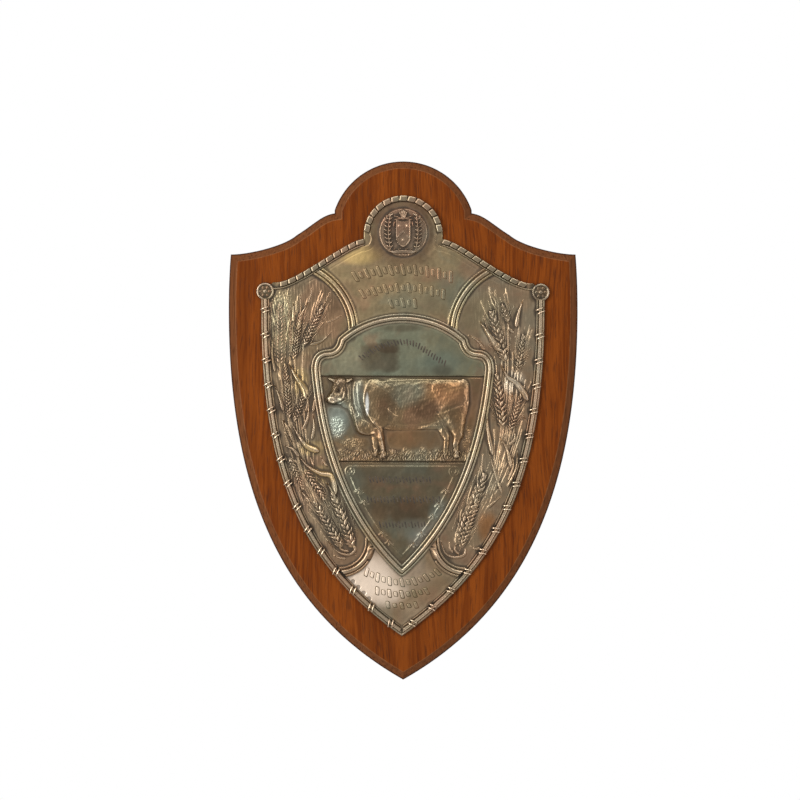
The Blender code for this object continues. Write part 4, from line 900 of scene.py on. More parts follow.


# crown tints: the two dark squarish patches at the top left (first two) are a painted reflection of the
# camera; the rest are tone and stains
CROWN_STAINS_AND_REFLECTION = ((-22.0, 56.0, 17.0, 12.5, DEEP_BROWN, 0.60, 5.0),
                (-13.0, 66.0, 9.0, 6.5, DEEP_BROWN, 0.5, 5.0),
                (-48.0, 48.0, 17.0, 16.0, (0.36, 0.315, 0.20), 0.5),
                (30.0, 50.0, 20.0, 10.0, SEA_GREEN, 0.5), (-4.0, 82.0, 18.0, 3.5, DEEP_BROWN, 0.45),
                (34.0, 44.0, 9.0, 5.0, DEEP_BROWN, 0.4))
# ox tints: copper, green and brown tone and stains, with painted light among them as marked below
OX_STAINS_AND_PAINTED_LIGHT = ((38.5, 25.0, 17.0, 12.0, COPPER, 0.5), (5.0, 24.0, 14.0, 13.0, SEA_GREEN, 0.42),
             # next two lines: the steel-blue patches before the chest and on the neck are painted window
             # reflections; the near-white crescent on the shoulder is a painted highlight
             (19.5, 10.0, 13.0, 9.0, DEEP_BROWN, 0.55), (-59.0, 2.0, 10.0, 16.0, STEEL_BLUE, 0.65),
             (-39.5, 21.0, 4.5, 18.0, STEEL_BLUE, 0.30), (-31.6, 14.5, 1.5, 8.5, (0.98, 0.97, 0.90), 0.80),
             (30.0, 33.0, 10.0, 6.0, DEEP_BROWN, 0.4), (9.0, -16.0, 40.0, 8.5, COPPER, 0.30),
             (56.0, -8.0, 11.0, 18.0, COPPER, 0.28), (-14.0, 12.0, 9.0, 12.0, DEEP_BROWN, 0.40),
             (-54.6, 29.0, 8.5, 8.5, (0.15, 0.088, 0.052), 0.55),
             # next two lines: the dark spots in the eye socket, nostril and mouth crease are painted shade in
             # those hollows, in the tarnish colour
             (-62.6, 18.2, 5.0, 3.4, (0.60, 0.46, 0.32), 0.55), (-57.2, 26.4, 2.7, 2.2, DARK_TARNISH_AND_SHADE, 0.75),
             (-66.2, 17.0, 1.6, 1.4, DARK_TARNISH_AND_SHADE, 0.7), (-61.0, 14.2, 6.0, 0.9, DARK_TARNISH_AND_SHADE, 0.6),
             # next line: the pale band along the ox's back is a painted highlight
             (8.0, 35.5, 52.0, 3.5, (0.42, 0.34, 0.19), 0.45), (44.0, 6.0, 9.0, 9.0, OLIVE_TARNISH, 0.4))
TABLET_STAINS = ((0.0, -47.0, 34.0, 8.0, (0.17, 0.16, 0.11), 0.5),
                 (18.0, -104.0, 13.0, 12.0, (0.32, 0.29, 0.24), 0.5),
                 (-4.0, -78.0, 36.0, 10.0, DEEP_BROWN, 0.4), (32.0, -86.0, 9.0, 18.0, STEEL_BLUE, 0.25),
                 (8.0, -94.0, 15.0, 9.0, STEEL_BLUE, 0.15),
                 (-44.0, -50.0, 10.0, 10.0, (0.22, 0.22, 0.16), 0.5))
# top tints: the gold patch at the top left (first) is a painted glow of reflected light; the rest are tone,
# the dark one the medallion's own
TOP_STAINS_AND_GLOW = ((-38.0, 145.0, 19.0, 8.0, GOLD, 0.85), (-62.0, 128.0, 14.0, 12.0, (0.52, 0.40, 0.20), 0.5),
              (0.0, 165.0, 31.0, 30.0, (0.16, 0.092, 0.055), 0.85, 2.6),
              (45.0, 116.0, 16.0, 14.0, SEA_GREEN, 0.35), (20.0, 104.0, 28.0, 9.0, (0.27, 0.25, 0.16), 0.4),
              (62.0, 132.0, 13.0, 9.0, (0.40, 0.23, 0.14), 0.5),
              (-22.0, 118.0, 20.0, 9.0, (0.42, 0.29, 0.15), 0.4))
# left tints: the pale patch high on the left (first) is a painted highlight, and the three golden patches on
# the brightest leaves are painted gleams over their tone; the rest are tone and the rosette's dark
LEFT_STAINS_AND_HIGHLIGHTS = ((-107.0, 93.0, 9.0, 13.0, (0.74, 0.66, 0.42), 0.6),
               (-91.0, 34.0, 7.0, 11.0, (0.64, 0.45, 0.20), 0.75),
               (-80.0, -24.0, 12.0, 6.0, (0.64, 0.45, 0.20), 0.75),
               (-84.0, -82.0, 17.0, 32.0, (0.44, 0.30, 0.18), 0.5),
               (-72.0, -47.0, 14.0, 7.0, (0.64, 0.45, 0.20), 0.75),
               (-121.0, 112.9, 10.0, 10.0, DARK_TARNISH_AND_SHADE, 0.75, 4.0),
               (-107.0, 84.0, 14.0, 30.0, (0.44, 0.37, 0.21), 0.6),
               (-68.0, 108.0, 22.0, 14.0, (0.24, 0.15, 0.085), 0.4),
               (-104.0, -10.0, 12.0, 38.0, (0.30, 0.19, 0.11), 0.35),
               (-92.0, -72.0, 10.0, 16.0, (0.34, 0.20, 0.13), 0.4))
# right tints: the two pale patches on the broad ends of the leaves (first two) are painted highlights; the
# rest are tone and the rosette's dark
RIGHT_STAINS_AND_HIGHLIGHTS = ((98.0, 33.0, 9.0, 10.0, (0.84, 0.74, 0.56), 0.8),
                (75.0, 77.0, 7.5, 10.0, (0.74, 0.60, 0.40), 0.6),
                (62.0, -86.0, 13.0, 24.0, (0.46, 0.34, 0.20), 0.4),
                (121.0, 112.9, 10.0, 10.0, DARK_TARNISH_AND_SHADE, 0.75, 4.0),
                (68.0, 94.0, 26.0, 18.0, (0.27, 0.235, 0.13), 0.5),
                (104.0, 20.0, 12.0, 46.0, (0.40, 0.26, 0.15), 0.4),
                (74.0, -94.0, 8.5, 13.0, (0.40, 0.17, 0.055), 0.75),
                (90.0, 82.0, 14.0, 20.0, (0.36, 0.21, 0.12), 0.4))
# foot tints: the near-white patch at the left (first) is a painted glare; the rest are tone
FOOT_GLARE_AND_STAINS = ((-36.0, -139.0, 32.0, 24.0, (0.97, 0.78, 0.60), 0.95),
               (6.0, -134.0, 18.0, 12.0, (0.66, 0.49, 0.34), 0.6),
               (38.0, -132.0, 18.0, 16.0, (0.40, 0.27, 0.15), 0.5),
               (10.0, -172.0, 14.0, 14.0, (0.55, 0.42, 0.27), 0.5))
METALS = {
    "inner_frame": worn_metal("frame_metal", (0.39, 0.325, 0.22), (0.45, 0.345, 0.20), 0.8, 0.35, 0.7),
    "crown_field": worn_metal("crown_metal", (0.30, 0.30, 0.195), (0.33, 0.29, 0.17), 0.8,
                              tint_patches=CROWN_STAINS_AND_REFLECTION),
    "ox_panel": worn_metal("ox_metal", (0.235, 0.175, 0.10), (0.29, 0.19, 0.10), 0.72, 0.34, 0.75, OX_STAINS_AND_PAINTED_LIGHT),
    "tablet": worn_metal("tablet_metal", (0.19, 0.15, 0.09), (0.24, 0.17, 0.095), 0.8, tint_patches=TABLET_STAINS),
    "left_field": worn_metal("left_metal", (0.31, 0.23, 0.14), (0.37, 0.255, 0.14), 1.0, 0.32, 1.3,
                             LEFT_STAINS_AND_HIGHLIGHTS),
    "right_field": worn_metal("right_metal", (0.39, 0.28, 0.17), (0.44, 0.295, 0.17), 1.0, 0.32, 1.2,
                              RIGHT_STAINS_AND_HIGHLIGHTS),
    "top_field": worn_metal("top_metal", (0.36, 0.28, 0.155), (0.41, 0.30, 0.16), 0.8, 0.33, 0.6, TOP_STAINS_AND_GLOW),
    "foot_field": worn_metal("foot_metal", (0.42, 0.29, 0.165), (0.48, 0.33, 0.185), 0.7, 0.30, 0.7,
                             FOOT_GLARE_AND_STAINS),
    "medallion": worn_metal("medallion_metal", (0.26, 0.18, 0.118), (0.31, 0.205, 0.128), 1.0, 0.33, 1.5),
    "trim": worn_metal("trim_metal", (0.25, 0.178, 0.108), (0.30, 0.205, 0.118), 1.2, 0.44, 0.7),
    "blocks": worn_metal("block_metal", (0.26, 0.21, 0.13), (0.30, 0.22, 0.13), 1.0, 0.36, 0.35),
    "flowers": worn_metal("flower_metal", (0.15, 0.105, 0.065), (0.20, 0.135, 0.08), 1.0, 0.36, 0.6),
    "ties": worn_metal("tie_metal", (0.50, 0.37, 0.24), (0.58, 0.40, 0.25), 0.9, 0.28, 1.2),
    "ears": worn_metal("ear_metal", (0.35, 0.255, 0.16), (0.41, 0.28, 0.165), 0.8, 0.32, 0.95),
    "strokes": worn_metal("stroke_metal", (0.32, 0.245, 0.138), (0.36, 0.26, 0.142), 0.6, 0.38, 0.10,
                          TOP_STAINS_AND_GLOW + FOOT_GLARE_AND_STAINS),
    # dark skirt round the strokes' feet: tarnish lodged there and a painted shadow
    "dirt_and_shadow": worn_metal("grime_and_shadow_metal", (0.105, 0.078, 0.042), (0.135, 0.094, 0.05), 0.5, 0.46, 0.0),
}
INK = Finish("filled_line")
INK.set(Base_Color=INK.blend(INK.noise(INK.place(), 300.0).ramp(0.4, 0.7), (0.030, 0.020, 0.011),
                             (0.09, 0.062, 0.036)),
        Roughness=INK.noise(INK.place(), 500.0) * 0.3 + 0.45)
BOARD_WOOD = mahogany("mahogany", ((0.222, 0.053, 0.0062), (0.152, 0.035, 0.0042)), (0.180, 0.062, 0.020))


# Meshes

def tilted(x, z, way=1):
    """Turns the plate's plan the touch askew that it sits on its board; back again if way is -1."""
    c, s = math.cos(TILT * way), math.sin(TILT * way)
    return x * c + (z - TILT_Z) * s, TILT_Z + (z - TILT_Z) * c - x * s


def on_board(p, up):
    """Plan points of the plate, up over its seat, as places in metres."""
    x, z = tilted(p[:, 0], p[:, 1])
    return np.stack([x, -(SEAT + np.broadcast_to(up, x.shape)), z], axis=1) * MM


def add_object(name, data):
    """A new object in the scene."""
    ob = bpy.data.objects.new(name, data)
    bpy.context.scene.collection.objects.link(ob)
    return ob


def new_object(name, verts, faces, material, sharp=None):
    """A mesh with one material; smooth where a sharp angle is given."""
    mesh = bpy.data.meshes.new(name)
    mesh.from_pydata([tuple(v) for v in verts], [], [tuple(int(i) for i in f) for f in faces])
    mesh.materials.append(material)
    mesh.validate()
    ob = add_object(name, mesh)
    if sharp is not None:
        soften(ob, sharp)
    return ob


def add_value(ob, key, values):
    """A value for each vertex that the materials read."""
    made = ob.data.attributes.new(key, "FLOAT", "POINT")
    made.data.foreach_set("value", values)


def soften(ob, angle):
    """Smooth shading, with edges sharper than an angle in degrees left sharp."""
    mesh = ob.data
    mesh.polygons.foreach_set("use_smooth", [True] * len(mesh.polygons))
    bm = bmesh.new()
    bm.from_mesh(mesh)
    limit = math.radians(angle)
    for e in bm.edges:
        e.smooth = len(e.link_faces) == 2 and e.calc_face_angle(0.0) < limit
    bm.to_mesh(mesh)
    bm.free()


def thin_out(p, lines, step):
    """Drops lattice points too close to the lines that the mesh is cut along."""
    for line in lines:
        p = p[along(line, p, step)[0] > step * 0.5]
    return p


def lattice(keep, lines, box, step):
    """Points of a triangle lattice in a box, kept inside a piece and clear of its lines."""
    (x0, z0), (x1, z1) = box
    rows = np.arange(z0, z1, step * 0.866)
    gx, gz = np.meshgrid(np.arange(x0, x1, step), rows)
    p = plan(gx + (np.arange(len(rows)) % 2)[:, None] * step / 2, gz)
    return thin_out(p[keep(p)], lines, step)


def turn_way(at, tri):
    """Above 0 for the triangles of a plan that run anticlockwise."""
    a, b, c = (at[tri[:, k]] for k in range(3))
    return (b[:, 0] - a[:, 0]) * (c[:, 1] - a[:, 1]) - (b[:, 1] - a[:, 1]) * (c[:, 0] - a[:, 0])


def cut_plan(keep, lines, box, step):
    """A piece's plan as points and anticlockwise triangles, with edges along its lines."""
    edges, points = [], [lattice(keep, lines, box, step) if box else np.zeros((0, 2))]
    count = len(points[0])
    for line in lines:
        line = spaced(line, step)
        points.append(line)
        edges += [(count + k, count + k + 1) for k in range(len(line) - 1)]
        count += len(line)
    at, _, tri, *_ = delaunay_2d_cdt([Vector(q) for q in np.vstack(points)], edges, [], 0, 1e-5)
    at, tri = np.array([tuple(v) for v in at]), np.array(tri)
    tri = tri[keep(at[tri].mean(1))]
    used, tri = np.unique(tri, return_inverse=True)
    at, tri = at[used], tri.reshape(-1, 3)
    wrong = turn_way(at, tri) < 0
    tri[wrong] = tri[wrong][:, ::-1]
    return at, tri


def patch(name, keep, lines, box, step, material):
    """A closed piece of the plate: relief on top, walls, and a flat back on the seat."""
    at, tri = cut_plan(keep, lines, box, step)
    sides = {(int(i), int(j)) for t in tri for i, j in ((t[0], t[1]), (t[1], t[2]), (t[2], t[0]))}
    rim = [(i, j) for i, j in sides if (j, i) not in sides]
    rim_at = sorted({i for e in rim for i in e})
    local = {i: k for k, i in enumerate(rim_at)}
    low = {i: len(at) + k for i, k in local.items()}
    flat, edges = [Vector(at[i]) for i in rim_at], [(local[i], local[j]) for i, j in rim]
    under_at, _, under, source, *_ = delaunay_2d_cdt(flat, edges, [], 0, 1e-7)
    under_at = np.array([tuple(v) for v in under_at])
    under = np.array([t for t, ok in zip(under, keep(under_at[np.array(under)].mean(1))) if ok])
    back = np.array([tuple(v) for v in flat])
    under = np.array([s[-1] for s in source])[under]
    wrong = turn_way(back, under) > 0
    under[wrong] = under[wrong][:, ::-1]
    faces = tri.tolist()
    for i, j in rim:
        faces += [(j, i, low[i]), (j, low[i], low[j])]
    faces += (under + len(at)).tolist()
    verts = np.vstack([on_board(at, relief(at)), on_board(back, 0.0)])
    return new_object(name, verts, faces, material, sharp=75)


# Geometry Nodes

class Build:
    """A Geometry Nodes tree with named inputs."""

    def __init__(self, name, **inputs):
        self.tree = bpy.data.node_groups.new(name, "GeometryNodeTree")
        face = self.tree.interface
        face.new_socket("Geometry", in_out="INPUT", socket_type="NodeSocketGeometry")
        self.ids = {}
        for key, kind in inputs.items():
            made = face.new_socket(key.replace("_", " "), in_out="INPUT", socket_type="NodeSocket" + kind)
            self.ids[key] = made.identifier
        face.new_socket("Geometry", in_out="OUTPUT", socket_type="NodeSocketGeometry")
        self.start = self.tree.nodes.new("NodeGroupInput")
        self.end = self.tree.nodes.new("NodeGroupOutput")

    def input(self, key):
        return self.start.outputs[key.replace("_", " ")]

    def node(self, kind, settings=None, values=None, out=0):
        made = self.tree.nodes.new(kind)
        for key, value in (settings or {}).items():
            setattr(made, key, value)
        for key, value in (values or {}).items():
            if isinstance(value, bpy.types.NodeSocket):
                self.tree.links.new(made.inputs[key], value)
            else:
                made.inputs[key].default_value = value
        return made.outputs[out]

    def finish(self, geometry):
        real = self.node("GeometryNodeRealizeInstances", {}, {"Geometry": geometry})
        made = self.node("GeometryNodeSetMaterial", {},
                         {"Geometry": real, "Material": self.input("Material")})
        self.tree.links.new(self.end.inputs[0], made)
        return self


def sweep_tree():
    """A round reed along a path."""
    b = Build("reed_along_path", Radius="Float", Sides="Int", Material="Material")
    curve = b.node("GeometryNodeMeshToCurve", {}, {"Mesh": b.input("Geometry")})
    ring = b.node("GeometryNodeCurvePrimitiveCircle", {},
                  {"Resolution": b.input("Sides"), "Radius": b.input("Radius")})
    tube = b.node("GeometryNodeCurveToMesh", {}, {"Curve": curve, "Profile Curve": ring, "Fill Caps": True})
    return b.finish(tube)


def set_tree():
    """Shapes set at an even pitch along a path, flat on the plate, each turned to the path."""
    b = Build("set_along_path", Count="Int", Shape="Object", Slant="Float", Slant_Play="Float",
              Size_Play="Float", Seed="Int", Material="Material")

    def play(seed, share, middle):
        """A random number for each shape, up to a share either side of a middle value."""
        chance = b.node("FunctionNodeRandomValue", {"data_type": "FLOAT"}, {2: -1.0, 3: 1.0, "Seed": seed},
                        out=1)
        return b.node("ShaderNodeMath", {"operation": "MULTIPLY_ADD"}, {0: chance, 1: share, 2: middle})

    curve = b.node("GeometryNodeMeshToCurve", {}, {"Mesh": b.input("Geometry")})
    points = b.node("GeometryNodeCurveToPoints", {"mode": "COUNT"},
                    {"Curve": curve, "Count": b.input("Count")}, out="Points")
    faced = b.node("FunctionNodeAlignRotationToVector", {"axis": "X", "pivot_axis": "Y"},
                   {"Vector": points.node.outputs["Tangent"]})
    swing = play(b.input("Seed"), b.input("Slant_Play"), b.input("Slant"))
    turned = b.node("FunctionNodeAxisAngleToRotation", {}, {"Axis": (0.0, 1.0, 0.0), "Angle": swing})
    pose = b.node("FunctionNodeRotateRotation", {"rotation_space": "LOCAL"},
                  {"Rotation": faced, "Rotate By": turned})
    next_seed = b.node("ShaderNodeMath", {"operation": "ADD"}, {0: b.input("Seed"), 1: 7.0})
    size = play(next_seed, b.input("Size_Play"), 1.0)
    shape = b.node("GeometryNodeObjectInfo", {"transform_space": "ORIGINAL"},
                   {"Object": b.input("Shape"), "As Instance": False}, out="Geometry")
    placed = b.node("GeometryNodeInstanceOnPoints", {},
                    {"Points": points, "Instance": shape, "Rotation": pose, "Scale": size})
    return b.finish(placed)


SWEEP, SET = sweep_tree(), set_tree()


def path_mesh(path, up, closed=False):
    """A path on the plate, at one height or many over its seat, as a mesh of edges."""
    verts = [(x * MM, -(SEAT + u) * MM, z * MM) for (x, z), u in zip(path, np.broadcast_to(up, len(path)))]
    edges = [(k, k + 1) for k in range(len(verts) - 1)] + ([(len(verts) - 1, 0)] if closed else [])
    mesh = bpy.data.meshes.new("path")
    mesh.from_pydata(verts, edges, [])
    return mesh


def grown(mesh, tree, **values):
    """The mesh that a tree makes of a path."""
    ob = add_object("grown", mesh)
    mod = ob.modifiers.new("tree", "NODES")
    mod.node_group = tree.tree
    for key, value in values.items():
        mod[tree.ids[key]] = value
    bpy.context.view_layer.update()
    made = bpy.data.meshes.new_from_object(ob.evaluated_get(bpy.context.evaluated_depsgraph_get()))
    bpy.data.objects.remove(ob)
    return made


def reed_along(path, up, radius, sides, material):
    """A round reed along a path, its centre up over the seat."""
    return grown(path_mesh(path, up), SWEEP, Radius=radius * MM, Sides=sides, Material=material)


def set_along(path, up, count, shape, material, slant=0.0, slant_play=0.0, size_play=0.0, seed=0,
              closed=False):
    """A count of one shape along a path; slants in radians, size play as a share."""
    return grown(path_mesh(path, up, closed), SET, Count=int(count), Shape=shape, Slant=float(slant),
                 Slant_Play=float(slant_play), Size_Play=float(size_play), Seed=int(seed), Material=material)


def stations(edge, centre, first, pitch, step):
    """A border's middle line from its first shape to its last, and how many shapes it carries."""
    size = length(edge)
    at = np.arange(first, size - pitch * 0.3, pitch)
    share = length(centre) / size
    return spaced(trimmed(centre, at[0] * share, at[-1] * share), step), len(at)


def gather(name, meshes, material, sharp):
    """Several grown meshes as one piece on the tilted plate, normals outward."""
    bm = bmesh.new()
    for mesh in meshes:
        bm.from_mesh(mesh)
    bmesh.ops.recalc_face_normals(bm, faces=bm.faces)
    for v in bm.verts:
        x, z = tilted(v.co.x / MM, v.co.z / MM)
        v.co.x, v.co.z = x * MM, z * MM
    out = bpy.data.meshes.new(name)
    bm.to_mesh(out)
    bm.free()
    out.materials.clear()
    out.materials.append(material)
    out.polygons.foreach_set("material_index", [0] * len(out.polygons))
    ob = add_object(name, out)
    soften(ob, sharp)
    return ob


def shape_object(name, verts, faces):
    """A shape to be repeated: x along the path, -y out of the plate, in millimetres."""
    mesh = bpy.data.meshes.new(name)
    mesh.from_pydata([(x * MM, -up * MM, z * MM) for x, up, z in verts], [], faces)
    return bpy.data.objects.new(name, mesh)


# sections of raised forms, from the foot up: share of the half width, share of the height
ROUND = ((1.0, 0.0), (0.95, 0.35), (0.8, 0.68), (0.52, 0.91))
FLAT = ((1.0, 0.0), (0.985, 0.72), (0.93, 0.90), (0.84, 0.975), (0.5, 0.99))
SLIM = ((1.0, 0.0), (0.9, 0.8))
GRASS = ((1.0, 0.0), (0.85, 0.8))
SPREAD = ((1.0, 0.0), (0.94, 0.7))


def domed(name, half, cross, top, floor=-1.0, profile=ROUND, skew=0.0, square=0.5, sides=20, crease=0.0,
          taper=0.0):
    """A closed raised form over a rounded plan: half length, half width, height, foot below zero."""
    verts, faces = [], []
    for scale, rise in profile:
        for j in range(sides):
            a = 2 * math.pi * (j + 0.5) / sides
            u = math.copysign(abs(math.cos(a)) ** square, math.cos(a)) * half * scale
            v = math.copysign(abs(math.sin(a)) ** square, math.sin(a)) * cross * scale
            v *= 1 - taper * u / half
            verts.append((u + skew * v, top * rise - crease * max(0.0, 1 - abs(v) / (0.35 * cross)), v))
    base, rings = len(verts), len(profile) - 1
    verts += [(u, floor, v) for u, _, v in verts[:sides]]
    verts += [(0.0, top, 0.0), (0.0, floor, 0.0)]
    for k in range(rings):
        for j in range(sides):
            i = (j + 1) % sides
            faces.append((k * sides + j, k * sides + i, (k + 1) * sides + i, (k + 1) * sides + j))
    for j in range(sides):
        i = (j + 1) % sides
        faces += [(base + j, base + i, i, j), (rings * sides + j, rings * sides + i, base + sides),
                  (base + i, base + j, base + sides + 1)]
    return shape_object(name, verts, faces)


def reeded_bands():
    """Reeds and thin beads down each side of the plate."""
    made = []
    for s, side in zip((-1, 1), SIDES):
        for off, radius, lift in REEDS:
            path = spaced(shift_path(side, off * s), 1.1)
            path = path[path[:, 0] * -s > off * 0.2]
            made.append(reed_along(path, FIELD + lift, radius, 18, METALS["trim"]))
    return gather("side_reeds", made, METALS["trim"], sharp=60)


def ribbon_shape():
    """A doubled ribbon crossing the reeds: two thin bands side by side."""
    verts, faces = [], []
    cross = np.linspace(-BAND / 2 - 0.2, BAND / 2 + 0.1, 13)
    section = ((-0.85, 1.9), (-0.75, 0.5), (-0.3, 0.03), (0.3, 0.0), (0.75, 0.5), (0.85, 1.9))
    n = len(section)
    for centre in (-1.65, 1.65):
        first = len(verts)
        for v in cross:
            t = (v + 0.3) / (BAND / 2 + 0.2)
            top = FIELD + 0.9 + 2.35 * math.sqrt(max(0.02, 1 - t * t * 0.93))
            verts += [(centre + u, top - drop, v) for u, drop in section]
        for i in range(first, len(verts) - n, n):
            faces += [(i + b, i + b + 1, i + n + b + 1, i + n + b) for b in range(n - 1)]
            faces.append((i + n - 1, i, i + n, i + 2 * n - 1))
        faces.append(tuple(range(first, first + n))[::-1])
        faces.append(tuple(range(len(verts) - n, len(verts))))
    return shape_object("ribbon_shape", verts, faces)


def ribbon_ties():
    """Doubled ribbons wound round the side bands, all leaning one way."""
    shape, made = ribbon_shape(), []
    for s, side in zip((-1, 1), SIDES):
        path, count = stations(side, shift_path(side, s * BAND / 2), TIE_FIRST, TIE_PITCH, 2.0)
        made.append(set_along(path, 0.0, count, shape, METALS["ties"], slant=-math.radians(TIE_SLANT),
                              slant_play=0.03, seed=3 + s))
    return gather("ribbon_ties", made, METALS["ties"], sharp=50)


def billets():
    """Rounded blocks round the arch and down the shoulders, with slanted gaps."""
    metal, play = METALS["blocks"], {"slant_play": 0.05, "size_play": 0.02}
    r = P_ARCH_R - ARCH_BAND / 2
    n = int(round(math.radians(ARCH_SWEEP) * r / BILLET))
    half = math.radians(ARCH_SWEEP) * r / n / 2 - 0.24
    block = domed("arch_block", half, ARCH_BAND / 2 - 0.1, 2.7, profile=FLAT, skew=0.14, square=0.22)
    edge = ARCH_SWEEP / n / 2
    arch = turn((0, P_ARCH_Z), r, 90 + ARCH_SWEEP / 2 - edge, 90 - ARCH_SWEEP / 2 + edge, 90)
    made = [set_along(arch, EDGE + 0.6, n, block, metal, seed=11, **play)]
    block = domed("shoulder_block", BILLET / 2 - 0.25, 2.15, 2.7, profile=FLAT, skew=0.25, square=0.22)
    for s, side in zip((-1, 1), SHOULDERS):
        made.append(reed_along(spaced(shift_path(side, s * 5.6), 1.0), EDGE + 1.3, 0.75, 14, metal))
        path, count = stations(side, shift_path(side, s * 2.4), 3.4, BILLET, 1.0)
        made.append(set_along(path, EDGE + 0.7, count, block, metal, seed=12 + s, **play))
    return gather("billet_blocks", made, metal, sharp=60)


def rosettes():
    """Six petals round a button at each corner."""
    petal = domed("petal_shape", 1.5, 1.75, 0.75, square=0.85, crease=0.2, sides=16)
    metal, made = METALS["flowers"], []
    for s in (-1, 1):
        loop = turn((ROSETTE[0] * s, ROSETTE[1]), 3.7, 0, 360, 36)[:-1]
        made.append(set_along(loop, FIELD + 0.5, 6, petal, metal, size_play=0.05, seed=31 + s, closed=True))
    return gather("rosette_petals", made, metal, sharp=50)


def ear_grains():
    """Husks of the wheat ears: slanted outer and inner columns on each ear's swell, with short awns."""
    metal, made = METALS["ears"], []
    for k, (*ends, w, up) in enumerate(EARS):
        a, d, n, size = axis_of(*ends)
        # the first ear is only lightly chased
        fine = 0.62 if k == 0 else 1.0
        pitch = max(2.6, w * 0.37 * fine)
        count = int(size * 0.94 / pitch)
        plump = domed(f"grain_{k}", pitch * 0.68, max(0.70, w * 0.100 * fine), (0.80 + 0.10 * up) * fine,
                      floor=-0.8, square=1.0, sides=12, taper=0.5)
        thin = domed(f"husk_{k}", pitch * 0.62, max(0.42, w * 0.05 * fine), 0.85 * fine, floor=-0.8,
                     square=1.0, sides=10, taper=0.6)
        awn = domed(f"awn_{k}", 5.6, 0.22, 0.5, floor=-0.5, profile=SLIM, square=1.0, sides=8, taper=0.5)
        columns = ((-1, 0.30, 27, plump), (1, 0.30, -27, plump), (-1, 0.76, 24, thin), (1, 0.76, -24, thin))
        for j, (col, share, slant, grain) in enumerate(columns):
            shift = 0.5 * pitch / size * (j in (1, 2))
            t = np.linspace(0.03 + shift, 0.95 + shift, 40)
            wide = share * ear_fat(t, w) + 0.25 * np.sin(t * 23 + k)
            path = a + d * (t * size)[:, None] + n * (col * wide)[:, None]
            level = field_level(path[:, 0], path[:, 1]) + 0.40 * up * (1.0 - 0.5 * (j > 1)) + 0.15 * (j < 2)
            made.append(set_along(path, level, count, grain, metal, slant=math.radians(slant),
                                  slant_play=0.30, size_play=0.28, seed=50 + 4 * k + j))
            if grain is thin:
                out = path + n * col * (w * 0.34) + d * 4.2
                made.append(set_along(out, field_level(out[:, 0], out[:, 1]) + 0.15, count, awn, metal,
                                      slant=math.radians(-11 * col), slant_play=0.16, size_play=0.4,
                                      seed=150 + 4 * k + j))
    return gather("wheat_grains", made, metal, sharp=60)


def grass():
    """Short blades in three rows on the turf under the ox."""
    metal, made = METALS["ox_panel"], []
    for k, (z, tall) in enumerate(((-27.2, 2.1), (-30.2, 2.4), (-33.2, 2.0))):
        blade = domed(f"blade_{k}", tall, 0.34, 0.75, floor=-0.6, profile=GRASS, square=1.0, sides=8,
                      taper=0.7)
        x = np.linspace(-58 + 1.2 * k, 58 - 1.2 * k, 90) * (1 - 0.03 * k)
        line = np.stack([x, z + 1.1 * np.sin(x * 0.45 + k)], axis=1)
        made.append(set_along(line, relief(line) + 0.05, 52, blade, metal, slant=math.radians(-90),
                              slant_play=0.75, size_play=0.4, seed=210 + k))
    return gather("grass_blades", made, metal, sharp=50)


def hatch(name, line, pitch, size, profile, lift, material, seed):
    """Parallel strokes along a line, tall and short in turn, none touching."""
    made = []
    tall, width, top, floor = size
    gaps = max(1, int(round(length(line) / pitch / 2)))
    for part, share in enumerate((1.0, 0.62)):
        gap = length(line) / gaps / 2 * part
        path = trimmed(spaced(line, 1.0), gap, length(line) - gap)
        bar = domed(f"{name}_{part}", width / 2, tall / 2 * share, top, floor=floor, profile=profile,
                    skew=-STROKE_SKEW, square=0.35, sides=16)
        made.append(set_along(path, relief(path) + lift, gaps + 1 - part, bar, material, seed=seed + part))
    return made


def raised_strokes():
    """Rows of bold slanted strokes in place of the raised inscription, and a dark skirt round their feet:
    tarnish lodged there and a painted shadow.
    """
    bars, dirt_and_shadow = [], []
    for k, (wide, z, rise, tall) in enumerate(ROWS):
        line = row_path(wide, z, rise)
        bars += hatch(f"bar_{k}", line, STROKE_PITCH, (tall, STROKE_WIDE, 0.80, -1.0), FLAT, 0.02,
                      METALS["strokes"], 90 + 3 * k)
        dirt_and_shadow += hatch(f"foot_{k}", line, STROKE_PITCH, (tall + 1.2, STROKE_WIDE + 1.2, 0.16, -1.0), SPREAD,
                      0.02, METALS["dirt_and_shadow"], 90 + 3 * k)
    return [gather("raised_strokes", bars, METALS["strokes"], sharp=50),
            gather("stroke_dirt", dirt_and_shadow, METALS["dirt_and_shadow"], sharp=50)]


def cut_strokes():
    """Fine filled strokes in rows that stand in for the engraved inscriptions."""
    made = []
    crown = bent(((-36.6, 54.7), (-20.0, 64.3), (-2.5, 68.7), (10.6, 67.0), (19.4, 61.7), (28.2, 55.6),
                  (37.0, 50.3)))
    rows = ((crown, 5.8, 2.7), (np.array([(-28.4, -52.1), (24.2, -52.1)]), 6.0, 2.8),
            (np.array([(-30.1, -69.6), (33.0, -69.6)]), 6.4, 2.8),
            (np.array([(-19.5, -91.5), (19.9, -91.5)]), 6.0, 2.8))
    for k, (line, tall, pitch) in enumerate(rows):
        made += hatch(f"cut_{k}", line, pitch, (tall, 1.2, 0.10, -0.35), SLIM, 0.03, INK.material,
                      120 + 2 * k)
    return gather("filled_strokes", made, INK.material, sharp=40)


# The board

